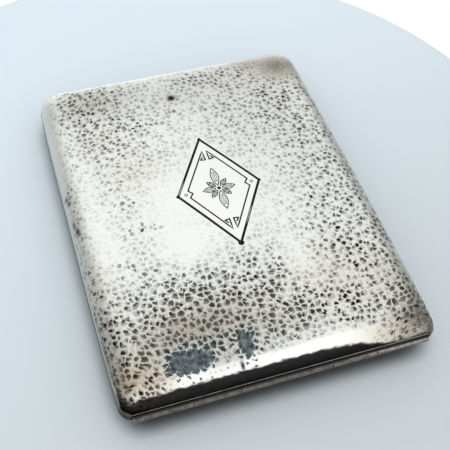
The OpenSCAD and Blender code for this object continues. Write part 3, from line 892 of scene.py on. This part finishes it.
# %% [markdown]
# The hinge is five lengths of silver tube, three on the lid and two on the base, on one wire. Each is a
# profile turned round the hinge line. Tube is cut with a fine saw and its ends are stoned, so they are
# rounded a little; between neighbours is a hair's breadth, which catches dirt.

# %% The hinge barrel
END_ROUND = 0.1
PLUG_DOME = 0.28
BORE_R = 0.54


def tube_profile(x0, x1):
    """Section of a tube from x0 to x1: a quarter round, the outer radius, a quarter round, the bore."""
    end, middle = END_ROUND, BARREL_R - END_ROUND
    outer = stacked(np.linspace(x0 + 1, x1 - 1, 9), BARREL_R)
    first, last = arc(x0 + end, middle, end, end, 180, 90, 4), arc(x1 - end, middle, end, end, 90, 0, 4)
    return np.concatenate([first, outer, last, [[x1, BORE_R], [x0, BORE_R]]])


def hinge_tubes(first):
    """Every second knuckle, from the given one."""
    parts = []
    for i in range(first, len(KNUCKLES) - 1, 2):
        x0 = KNUCKLES[i] + (0 if i == 0 else KNUCKLE_GAP / 2)
        x1 = KNUCKLES[i + 1] - (0 if i == len(KNUCKLES) - 2 else KNUCKLE_GAP / 2)
        parts.append(lathe(tube_profile(x0, x1), (0, -HALF_L, SEAM)))
    return joined(parts)


for body, first in (("lid", 0), ("base", 1)):
    tubes = mesh_object(body + "_hinge_tubes", *hinge_tubes(first))
    dress(tubes, hinge_finish, body, "plain_silver", body + "_knuckles")


def plug(side):
    """Low dome on a short neck that closes one end of the barrel."""
    dome = arc(PLUG_T - PLUG_DOME, 0, PLUG_DOME, BARREL_R, 90, 0, 7)
    outline = np.concatenate([[[0, 0], [0, BARREL_R]], dome])
    outline[:, 0] = side * (BARREL_L / 2 + outline[:, 0])
    return lathe(outline, (0, -HALF_L, SEAM))


plugs = mesh_object("barrel_plugs", *joined([plug(1), plug(-1)]))
dress(plugs, hinge_finish, "lid", "plain_silver", "pin_plugs")

# %% [markdown]
# The thumb piece is a filed bar with rounded ends and a reeded face, so that the thumb doesn't slip. Its
# section is a soft square, |y|^5 + |z|^5 = 1, that shrinks to a point at both ends.

# %% The thumb piece
THUMB_HALF = (6.5, 1.4, 1.1)
THUMB_Y = HALF_L - 0.4
THUMB_Z = SEAM - 1.4
REED, REED_DEPTH = 0.62, 0.1
THUMB_ROWS, THUMB_SIDES = 161, 56
SECTION_ORDER, END_ORDER = 5, 14


def thumb_bar():
    """y and z follow a power curve of the section's order, times (1 - |x / half|^e)^(1 / e) with the ends'
    order e. The reeds are waves along x."""
    even = np.linspace(-1, 1, THUMB_ROWS)
    x = even * 0.6 + np.sin(even * math.pi / 2) * 0.4
    c, s = ring_of(1, THUMB_SIDES).T
    radius = (np.abs(c) ** SECTION_ORDER + np.abs(s) ** SECTION_ORDER) ** (-1 / SECTION_ORDER)
    shrink = (1 - np.abs(x[:, None]) ** END_ORDER) ** (1 / END_ORDER)
    px, py = THUMB_HALF[0] * x[:, None], THUMB_HALF[1] * shrink * radius * c
    pz = THUMB_HALF[2] * shrink * radius * s
    reeds = 0.5 - 0.5 * np.cos(2 * math.pi * px / REED)
    face = smooth_step(0.75, 0.95, py / THUMB_HALF[1]) * smooth_step(5.9, 5.4, np.abs(px))
    points = stacked(px, THUMB_Y + py - REED_DEPTH * reeds * face, THUMB_Z + pz)
    return points.reshape(-1, 3), grid_quads(THUMB_ROWS, THUMB_SIDES, close_columns=True)


thumb = mesh_object("thumb_bar", *thumb_bar(), sharp=60)
dress(thumb, plain_finish, "thumb", "plain_silver", "thumb_piece")

# %% [markdown]
# Behind the thumb piece a flat steel spring runs across the catch wall, riveted at both ends. Its middle
# carries a tongue with a nib that hooks over the lid's keeper. Pressed, it bows inwards between its
# rivets, so each half is made as a piece of its own.

# %% The catch spring
SPRING_HALF, SPRING_T, SPRING_H = 16.0, 0.4, 2.2
SPRING_Y = HALF_L - 1.8 - SPRING_T / 2
SPRING_Z = SEAM - 0.4 - SPRING_H / 2
TONGUE_HALF, TONGUE_RISE, NIB_REACH, NIB_H = 3.5, 1.95, 0.6, 0.6
RIVET_X = 14.5
HEAD_H, HEAD_R, SHANK_R, SHANK_L = 0.35, 0.81, 0.45, 0.8


def spring_half(side):
    """Rounded strip from the spring's end to its middle."""
    path = stacked(np.linspace(side * SPRING_HALF, 0, 41), SPRING_Y, SPRING_Z)
    return sweep(path, rounded_bar(SPRING_T, SPRING_H, 0.08))


def tongue():
    """Section of the tongue and its nib, as y and z, carried along x."""
    outer = SPRING_Y + SPRING_T / 2
    nib_z = SEAM + TONGUE_RISE - NIB_H
    section = np.array([
        (outer - SPRING_T, SPRING_Z), (outer, SPRING_Z), (outer, nib_z), (outer + NIB_REACH - 0.05, nib_z),
        (outer + NIB_REACH, nib_z + 0.05), (outer + NIB_REACH, nib_z + NIB_H / 3),
        (outer, SEAM + TONGUE_RISE), (outer - SPRING_T, SEAM + TONGUE_RISE),
    ])
    return sweep(stacked(np.linspace(-TONGUE_HALF, TONGUE_HALF, 15), 0.0, 0.0), section)


for name, side, more in (("left", -1, [tongue()]), ("right", 1, [])):
    piece = mesh_object("catch_spring_" + name, *joined([spring_half(side)] + more), sharp=30)
    piece.data.materials.append(steel_finish)
    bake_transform(piece)
    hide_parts("catch_spring")


def rivet(side):
    """Domed head on a shank, turned round Y."""
    head = arc(0, 0, HEAD_H, HEAD_R, 180, 90, 7)
    outline = np.concatenate([head, [[0, SHANK_R], [SHANK_L, SHANK_R], [SHANK_L, 0]]])
    return lathe(outline, (side * RIVET_X, SPRING_Y - SPRING_T / 2, SPRING_Z), count=32, axis="y")


rivets = mesh_object("spring_rivet_domes", *joined([rivet(1), rivet(-1)]))
dress(rivets, steel_finish, "base", "spring_steel", "spring_rivets")

# %% [markdown]
# Elastic bands hold the cigarettes. Each end is turned round the bar of a wire staple and sewn down. The
# band is a strip of woven elastic: rubber cords run along it, so it is ribbed across its width, and the
# yarn that covers them runs crosswise. The path is worked out in the case's middle plane, as y and the
# depth from the seam, and the strip's surface is that path times its width.

# %% The bands' staples and path
BAND_W, BAND_T = 11.0, 0.56
STAPLE_R, STAPLE_BEND = 0.4, 0.7
BAR_Y = HALF_L - 4.9
BAR_DROP = 3.4
STAPLE_X = BAND_W / 2 + 0.3 + STAPLE_R
LOOP_R = STAPLE_R + 0.08 + BAND_T / 2
BAND_TAIL, FOLD = 8.0, 3.0
RIB_LIFT, SCALLOP, SCALLOP_STEP = 0.05, 0.05, 1.1
STITCH_R, STITCH_L, STITCH_STEP, STITCH_RISE = 0.11, 1.3, 1.84, 0.1


def wall_reach(drop):
    """How far inside the outline the inner skin lies at a depth from the seam."""
    r = EDGE_R - WALL
    return WALL + r - math.sqrt(r * r - drop * drop)


def staple(end, sign):
    """Wire from the wall round two bends, with the bar between them."""
    bend = arc(STAPLE_X - STAPLE_BEND, BAR_Y + STAPLE_BEND, STAPLE_BEND, STAPLE_BEND, 0, -90, 7)
    half_path = np.concatenate([[[STAPLE_X, HALF_L - wall_reach(BAR_DROP) + 0.2]], bend])
    plan = np.concatenate([half_path, mirrored(half_path)])
    path = stacked(plan[:, 0], end * plan[:, 1], SEAM + sign * BAR_DROP)
    along = directions(path)
    return sweep(path, ring_of(STAPLE_R), side=np.cross(along, [0, 0, 1]))


def band_path():
    """Tail, half turn round the bar, the long run, and the same again, as y and depth from the seam."""
    run_drop = BAR_DROP - LOOP_R
    tail_drop = run_drop + BAND_T + 0.02
    loop = arc(BAR_Y, BAR_DROP, LOOP_R, LOOP_R, -90, 90, 25)
    t = np.linspace(0, 1, 13)[1:]
    folded = loop[-1, 1] + (tail_drop - loop[-1, 1]) * smooth_step(0, 1, t)
    back_down = stacked(BAR_Y - FOLD * t, folded)
    tail = np.array([[BAR_Y - BAND_TAIL, tail_drop]])
    half_path = np.concatenate([[[0, run_drop]], loop, back_down, tail])
    path = np.concatenate([mirrored(half_path), half_path[1:]])
    way = np.concatenate([[0], np.cumsum(np.linalg.norm(np.diff(path, axis=0), axis=1))])
    even = np.linspace(0, way[-1], 261)
    return stacked(np.interp(even, way, path[:, 0]), np.interp(even, way, path[:, 1])), way[-1]


# %% [markdown]
# Woven elastic: a glossy yarn over rubber cords. The eye gets lengthwise ribs about a millimetre apart,
# crossed by fine yarn at three or four threads to the millimetre, drawn here at two to the millimetre so
# that it shows. Yarn is dull and catches light at grazing angles, so the shader has sheen and no metal.


# %% Woven elastic
RIB, WEFT = 0.92, 0.5


def woven_elastic():
    """Yarn colour with painted shade, darker between the ribs and between the crossing threads."""
    material, tree, shader = new_material("woven_elastic_webbing")
    node = partial(add, tree)
    place = node("UVMap", uv_map="sheet")
    part = node("SeparateXYZ", place).outputs
    weft = node("Math SINE", node("Math MULTIPLY", part[1], 2 * math.pi / WEFT))
    rib = node("Math COSINE", node("Math MULTIPLY", part[0], 2 * math.pi / RIB))
    thread = node("Math MULTIPLY_ADD", weft, 0.5, rib)
    fuzz = node("TexNoise", place, 2.5, 4.0)
    # Painted shade: the colour darkens where the weave's height is low.
    share = node("Math MULTIPLY", fuzz, node("MapRange", thread, -1.2, 1.2))
    fill(tree, shader, {
        "Base Color": node("Mix", share, linear("#7a5a2c"), linear("#d9b777"), **COLOUR),
        "Normal": node("Bump", named={"Height": thread, "Strength": 0.5, "Distance": 0.06 * MM}),
        "Roughness": 0.75, "Sheen Weight": 0.35, "Sheen Roughness": 0.4,
    })
    return material


elastic_finish = woven_elastic()


# %% [markdown]
# A band is a sheet of one thickness, so its middle surface is made first and a modifier gives it both faces.
# It is held stretched between its staples. The stitches lie on it and move with it.


# %% The two bands
def band_surface(sign):
    """Point at width a and way s: the path's point at s, lifted by a rib's wave lift * cos(2 pi a / rib)."""
    path, length = band_path()
    a = np.linspace(-BAND_W / 2, BAND_W / 2, 61)
    along = directions(path)
    normal = stacked(-along[:, 1], along[:, 0])
    lift = RIB_LIFT * np.cos(2 * math.pi * a / RIB)
    y = path[:, None, 0] + normal[:, None, 0] * lift
    drop = path[:, None, 1] + normal[:, None, 1] * lift
    way = np.linspace(0, length, len(path))
    scallop = SCALLOP * np.sin(2 * math.pi * way / SCALLOP_STEP)
    x = a * (1 + scallop[:, None] / BAND_W)
    points = stacked(x, y, SEAM + sign * drop)
    sheet = stacked(a, way[:, None]).reshape(-1, 2)
    return points.reshape(-1, 3), grid_quads(len(path), len(a)), sheet, length


def stitches(sign):
    """Rows of short raised threads across each sewn end, each an arc of a sine."""
    parts = []
    top = BAR_DROP - LOOP_R - BAND_T / 2 - 0.02
    t = np.linspace(0, 1, 9)
    for y in (BAR_Y - BAND_TAIL + 1, BAR_Y - BAND_TAIL + 4):
        for end in (-1, 1):
            for x in np.arange(-4.6, 4.7, STITCH_STEP):
                drop = top - STITCH_RISE * np.sin(math.pi * t)
                path = stacked(x - STITCH_L / 2 + STITCH_L * t, end * y, SEAM + sign * drop)
                parts.append(sweep(path, ring_of(STITCH_R, 6)))
    return joined(parts)


def make_band(half, sign):
    """Staples, band and stitches of one half."""
    wires = mesh_object(half + "_wire_staples", *joined([staple(-1, sign), staple(1, sign)]))
    dress(wires, gilt_finish, half, "gilt", half + "_band_staples")
    points, faces, sheet, length = band_surface(sign)
    band = mesh_object(half + "_elastic", points, faces, merge=0)
    set_sheet_map(band, sheet)
    thick = band.modifiers.new("thickness", "SOLIDIFY")
    thick.thickness, thick.offset = BAND_T * MM, 0
    dress(band, elastic_finish, half, "elastic", half + "_band")
    sewn = mesh_object(half + "_stitches", *stitches(sign))
    dress(sewn, elastic_finish, half, "elastic")
    set_sheet_map(sewn, np.zeros((len(sewn.data.vertices), 2)))
    print(half, "band's cut length", round(length, 1), "mm")


make_band("base", -1)
make_band("lid", 1)

# %% [markdown]
# The lozenge is cut with a graver and the cuts are black with age. A cut is a narrow strip: raised a hair
# at its two lips, where the graver pushed the metal up, and hollow between. Each line is a list of
# corners, drawn with mitred joints along the dome of the lid. Inside stands a plain rosette of reeded
# leaves, a pattern as old as engraving.

# %% Engraved lines
LINE_STEP = 1.2
CUT_FOOT, CUT_EDGE, CUT_LIP, CUT_MIDDLE = -0.05, 0.012, 0.024, 0.008
LEAF_START = 0.9
BORDER_W, FRAME_W, LEAF_W, CIRCLE_W, REED_W = 0.68, 0.4, 0.26, 0.2, 0.15


def lid_height(x, y):
    """Height of the dome over the frame's floor at a place on the lid's panel."""
    panel_w, panel_l = HALF_W - PANEL_IN, HALF_L - PANEL_IN
    dome = (1 - (x / panel_w) ** 2) * (1 - (y / panel_l) ** 2)
    return SEAM + EDGE_R * math.sin(EDGE_END) + (LID_RISE - EDGE_R * math.sin(EDGE_END)) * dome


def engraved(corners, width, closed=False):
    """Mitred strip: at a corner the side vector is the mean of both normals over the cosine between."""
    corners = np.asarray(corners, float) + [0, LOZENGE_CENTRE]
    ends = np.roll(corners, -1, 0) if closed else corners[1:]
    starts = corners if closed else corners[:-1]
    run = ends - starts
    run /= np.linalg.norm(run, axis=1, keepdims=True)
    normal = stacked(-run[:, 1], run[:, 0])
    before = np.roll(normal, 1, 0) if closed else np.concatenate([normal[:1], normal[:-1]])
    points, sides = [], []
    for k, (p, q) in enumerate(zip(starts, ends)):
        mitre = before[k] + normal[k]
        mitre = mitre / max(mitre @ normal[k], 0.45)
        count = max(1, int(np.linalg.norm(q - p) / LINE_STEP))
        t = np.arange(count)[:, None] / count
        points.append(p + (q - p) * t)
        sides.append(np.where(t == 0, mitre, normal[k]))
    if not closed:
        points.append(corners[-1:])
        sides.append(normal[-1:])
    plan, side = np.concatenate(points), np.concatenate(sides)
    z = lid_height(plan[:, 0], plan[:, 1])
    path = stacked(plan[:, 0], plan[:, 1], z)
    side = stacked(side[:, 0], side[:, 1], 0.0)
    section = np.array([
        (-width / 2, CUT_FOOT), (width / 2, CUT_FOOT), (width / 2, CUT_EDGE), (0.36 * width, CUT_LIP),
        (0, CUT_MIDDLE), (-0.36 * width, CUT_LIP), (-width / 2, CUT_EDGE),
    ])
    return sweep(path, section, side, closed=closed)


def dot(x, y, r):
    """Low round mark, as a punch leaves."""
    y = y + LOZENGE_CENTRE
    outline = np.concatenate([[[CUT_FOOT, 0], [CUT_FOOT, r]], arc(0, 0, 0.04, r, 90, 0, 5)])
    return lathe(outline, (x, y, lid_height(x, y)), count=20, axis="z")


def leaf(heading, length, width):
    """Closed outline, half width * sin(pi t) on both sides of its axis, and three reeds inside it."""
    t = np.linspace(0, 1, 15)
    along, side = LEAF_START + length * t, width / 2 * np.sin(math.pi * t)
    outline = np.concatenate([stacked(along, side), stacked(along, -side)[-2:0:-1]])
    reeds = [stacked(along[3:12], side[3:12] * k) for k in (-0.45, 0, 0.45)]
    c, s = math.cos(heading), math.sin(heading)
    turn = np.array([[c, s], [-s, c]])
    return outline @ turn, [reed @ turn for reed in reeds]


HOOK = [(1.1, 11.6), (1.75, 10.6), (0.55, 10.4), (0.62, 13.6)]
NOTCH = [(8.1, 1.2), (7.15, 0.0), (8.1, -1.2)]
CIRCLE_X, CIRCLE_R = 8.96, 0.36
tips = [(0, LOZENGE_Y), (LOZENGE_X, 0), (0, -LOZENGE_Y), (-LOZENGE_X, 0)]
parts = [engraved(tips, BORDER_W, closed=True)]
for mirror in (1, -1):
    line = np.array(HOOK + NOTCH + [(x, -y) for x, y in HOOK[::-1]])
    parts.append(engraved(line * [mirror, 1], FRAME_W))
    parts.append(engraved(ring_of(CIRCLE_R) + [mirror * CIRCLE_X, 0], CIRCLE_W, closed=True))
parts += [dot(x, y, r) for (x, y), r in zip(tips, (0.5, 0.5, 0.8, 0.55))]
for k in range(8):
    length, width = ((6.2, 2.0), (2.8, 1.3), (3.4, 1.7), (2.8, 1.3))[k % 4]
    outline, reeds = leaf(math.pi / 2 + k * math.pi / 4, length, width)
    parts.append(engraved(outline, LEAF_W, closed=True))
    parts += [engraved(reed, REED_W) for reed in reeds]
parts.append(dot(0, 0, 0.5))
for scratch, width in (([(25.0, -30.9), (25.3, -32.6)], 0.3), ([(18.5, -45.4), (19.1, -47.0)], 0.14)):
    parts.append(engraved(scratch, width))
engraving = mesh_object("lozenge_engraving", *joined(parts), sharp=30)


def blackened_cut():
    """Rough dark tarnish, with a little bare silver on the lips."""
    material, tree, shader = new_material("blackened_graver_cut")
    node = partial(add, tree)
    drift = node("TexNoise", node("TexCoord").outputs["Object"], 1 / (0.8 * MM), 3.0)
    share = node("MapRange", drift, 0.45, 0.75)
    fill(tree, shader, {
        "Base Color": node("Mix", share, linear("#0b0a09"), linear("#2b2825"), **COLOUR),
        "Roughness": 0.6, "Specular IOR Level": 0.15,
    })
    return material


dress(engraving, blackened_cut(), "lid", "hammered_silver")

# %% [markdown]
# The camera looks at the case as the photo does: its place was worked out from the outline, the hinge
# line and the lozenge. Its direction is kept as an azimuth, an elevation and a roll, and its distance and
# target in millimetres. The sensor is 36 mm wide for the photo's 450 pixels.

# %% The camera
FOCAL_PX = 798.6
PHOTO_PX = 450
SENSOR = 36.0
AZIMUTH, ELEVATION, ROLL = math.radians(-21.58), math.radians(52.55), math.radians(4.52)
DISTANCE = 210.67
TARGET = np.array([-0.21, -6.13, 7.2])

back = np.array([
    math.sin(AZIMUTH) * math.cos(ELEVATION), -math.cos(AZIMUTH) * math.cos(ELEVATION), math.sin(ELEVATION),
])
right = np.array([math.cos(AZIMUTH), math.sin(AZIMUTH), 0.0])
above = np.cross(back, right)
rolled_right = math.cos(ROLL) * right + math.sin(ROLL) * above
rolled_above = -math.sin(ROLL) * right + math.cos(ROLL) * above
eye = (TARGET + back * DISTANCE) * MM
camera_data = bpy.data.cameras.new("camera")
camera_data.sensor_width = SENSOR
camera_data.lens = SENSOR * FOCAL_PX / PHOTO_PX
camera_data.clip_start = 0.01
camera = new_object("camera", camera_data)
placed = np.eye(4)
placed[:3] = np.stack([rolled_right, rolled_above, back, eye], -1)
camera.matrix_world = Matrix(placed.tolist())
bpy.context.scene.camera = camera
print("lens", round(camera_data.lens, 1), "mm, eye", np.round(eye, 3))

# %% [markdown]
# The light is a plain bright room. Silver shows little but what it reflects, so the room is brightest over
# the near side, as under a wide soft lamp, and dimmer low down on both sides. Direct views of the room from
# the camera are pure white.


# %% The room
def room():
    """World whose brightness depends on direction: brightest over the near side, dimmer low on both sides."""
    world = bpy.data.worlds.new("room")
    bpy.context.scene.world = world
    world.use_nodes = True
    world.node_tree.nodes.clear()
    node = partial(add, world.node_tree)
    part = node("SeparateXYZ", node("TexCoord").outputs["Generated"]).outputs
    over = node("MapRange", part[1], -0.02, -0.22, 1.03, 1.16, **SMOOTH)
    far = node("MapRange", part[1], 0.93, 0.98, 0.0, 0.15, **SMOOTH)
    right_side = node("MapRange", part[0], 0.4, 0.9, 1.0, 0.6, **SMOOTH)
    left_side = node("MapRange", part[0], -0.3, -0.75, 1.0, 0.74, **SMOOTH)
    sides = node("Math MULTIPLY", right_side, left_side)
    level = node("Math MULTIPLY", node("Math ADD", over, far), sides)
    lit = node("Background", linear("#fbfcff"), level)
    seen = node("Background", (1.0, 1.0, 1.0, 1.0), 1.0)
    by_ray = node("MixShader", node("LightPath").outputs["Is Camera Ray"], lit, seen)
    node("OutputWorld", by_ray)


room()
bpy.context.scene.view_settings.view_transform = "Standard"

# %% [markdown]
# The case lies on a pale turntable, a matt disc with a rounded rim, before a white backdrop. The disc is a
# little darker towards the near side, as a table in a lit room is. In the narrow gap under the case hardly
# any light gets in, so its colour is also darkened by how much of the sky nearby pieces hide.


# %% The turntable
DISC_CENTRE = (-5.0, 8.8, 0)
DISC_R, DISC_T = 107.6, 8
GAP_REACH = 6


def pale_floor():
    """Matt white from far to near, times the open share of the sky within GAP_REACH."""
    material, tree, shader = new_material("pale_matt_lacquer")
    node = partial(add, tree)
    place = node("TexCoord").outputs["Object"]
    along = node("VectorMath DOT_PRODUCT", place, (-0.3, 1.0, 0.0))
    share = node("MapRange", along, -0.09, 0.1, **SMOOTH)
    pale = node("Mix", share, linear("#d2d9db"), linear("#e6f2f8"), **COLOUR)
    sky = node("AmbientOcclusion", named={"Distance": GAP_REACH * MM}, samples=8).outputs["AO"]
    least = node("MapRange", node("SeparateXYZ", place), -0.036, -0.044, 0.1, 0.8)
    open_share = node("MapRange", sky, 0.45, 0.95, least, **SMOOTH)
    fill(tree, shader, {
        "Base Color": node("Mix", open_share, linear("#0b0b0c"), pale, **COLOUR),
        "Roughness": 0.8, "Specular IOR Level": 0.2,
    })
    return material


def turntable():
    """Section of the disc, with a quarter round of 1 mm at its rim, turned round its middle."""
    rim = arc(-1, DISC_R - 1, 1, 1, 0, 90, 7)
    section = np.concatenate([[[0, 0]], rim, [[-DISC_T, DISC_R], [-DISC_T, 0]]])
    return lathe(section, DISC_CENTRE, count=240, axis="z")


floor = mesh_object("floor", *turntable())
floor.data.materials.append(pale_floor())

# %% [markdown]
# A photographer who wants silver to look like metal, and not like white paper, puts dark cards where its
# edges will reflect them. One lies in front of the case, and one stands at the lying card's end and round the
# near left corner. The standing card gets lower to the right and on the left, and its top fades out, so the
# black band in the edge thins and ends softly. It is black only on the side that faces the case, so an open
# lid doesn't mirror it. Both are seen in reflections only.

# %% The dark cards
CARD_Y, CARD_X = -64, -54
CARD_LEFT, CARD_RIGHT = -39, 46
CARD_BACK, CARD_END = -55, -14
CARD_Z, CARD_FADE, CARD_TURN = 0.3, 1.4, 8
CARD_HIGH, CARD_LOW = 21.2, 2.0
BOW, BOW_START = 0.016, 5
RIGHT_SLOPE, RIGHT_START = 0.7, 22
LEFT_SLOPE, LEFT_START = 1.0, -54
CARD_AIM = Vector((0, 0, 12 * MM))


def card_top(x, y):
    """The high value, less bow * (x - its start)^2 right of that start, less the right slope from its start
    in x and the left slope from its start in y, and never under the low value."""
    lower = BOW * np.maximum(0, x - BOW_START) ** 2 + RIGHT_SLOPE * np.maximum(0, x - RIGHT_START)
    return np.maximum(CARD_HIGH - (lower + LEFT_SLOPE * np.maximum(0, y - LEFT_START)), CARD_LOW)


def black_flock():
    """Matt black where the attribute "cover" is 1 and the face looks at the ray, see-through elsewhere."""
    material, tree, shader = new_material("black_flock")
    node = partial(add, tree)
    fill(tree, shader, {"Base Color": linear("#0c0c0d"), "Roughness": 1.0, "Specular IOR Level": 0.0})
    cover = node("Attribute", attribute_name="cover", attribute_type="GEOMETRY").outputs["Fac"]
    shown = node("Math SUBTRACT", cover, node("NewGeometry").outputs["Backfacing"], use_clamp=True)
    by_side = node("MixShader", shown, node("BsdfTransparent"), shader)
    fill(tree, tree.nodes["Material Output"], {"Surface": by_side})
    return material


def dark_card(name, points, faces, cover):
    """A card that only reflections see, with its front turned to the case."""
    card = mesh_object(name, points, faces, merge=0)
    first = card.data.polygons[0]
    if first.normal.dot(CARD_AIM - first.center) < 0:
        card.data.flip_normals()
    set_field(card, "cover", cover)
    card.data.materials.append(black_flock())
    card.visible_camera = card.visible_diffuse = card.visible_shadow = False


def standing_wall():
    """Points in three rows along the near edge, round a corner and along the left edge: foot, top less fade
    and top plus fade, with the cover of each."""
    corner_x, corner_y = CARD_X + CARD_TURN, CARD_Y + CARD_TURN
    near = stacked(np.linspace(CARD_RIGHT, corner_x + 2, 24), CARD_Y)
    left = stacked(CARD_X, np.linspace(corner_y + 2, CARD_END, 12))
    x, y = np.concatenate([near, arc(corner_x, corner_y, CARD_TURN, CARD_TURN, 270, 180, 9), left]).T
    top = card_top(x, y)
    z = np.stack([np.full_like(top, CARD_Z), top - CARD_FADE, top + CARD_FADE])
    points = stacked(x, y, z)
    print("the standing card is between", np.round(top.min(), 1), "and", np.round(top.max(), 1), "mm high")
    return points.reshape(-1, 3), grid_quads(*z.shape), np.repeat([1.0, 1.0, 0.0], top.size)


lying = [[x, y, CARD_Z] for x, y in (
    (CARD_LEFT, CARD_Y), (CARD_RIGHT, CARD_Y), (CARD_RIGHT, CARD_BACK), (CARD_LEFT, CARD_BACK),
)]
dark_card("card_in_front", lying, [[0, 1, 2, 3]], np.ones(4))
dark_card("standing_card", *standing_wall())

# %% [markdown]
# Five small pieces of the construction lie hidden and are plain in life too, so they stay as they were made
# and only get a finish.

# %% Materials for the pieces that stay
for name, finish in {
    "lid_bearer": plain_finish, "base_bearer": plain_finish, "lid_keeper": gilt_finish,
    "hinge_pin": steel_finish, "spring_posts": gilt_finish,
}.items():
    nodes[name].data.materials.clear()
    nodes[name].data.materials.append(finish)
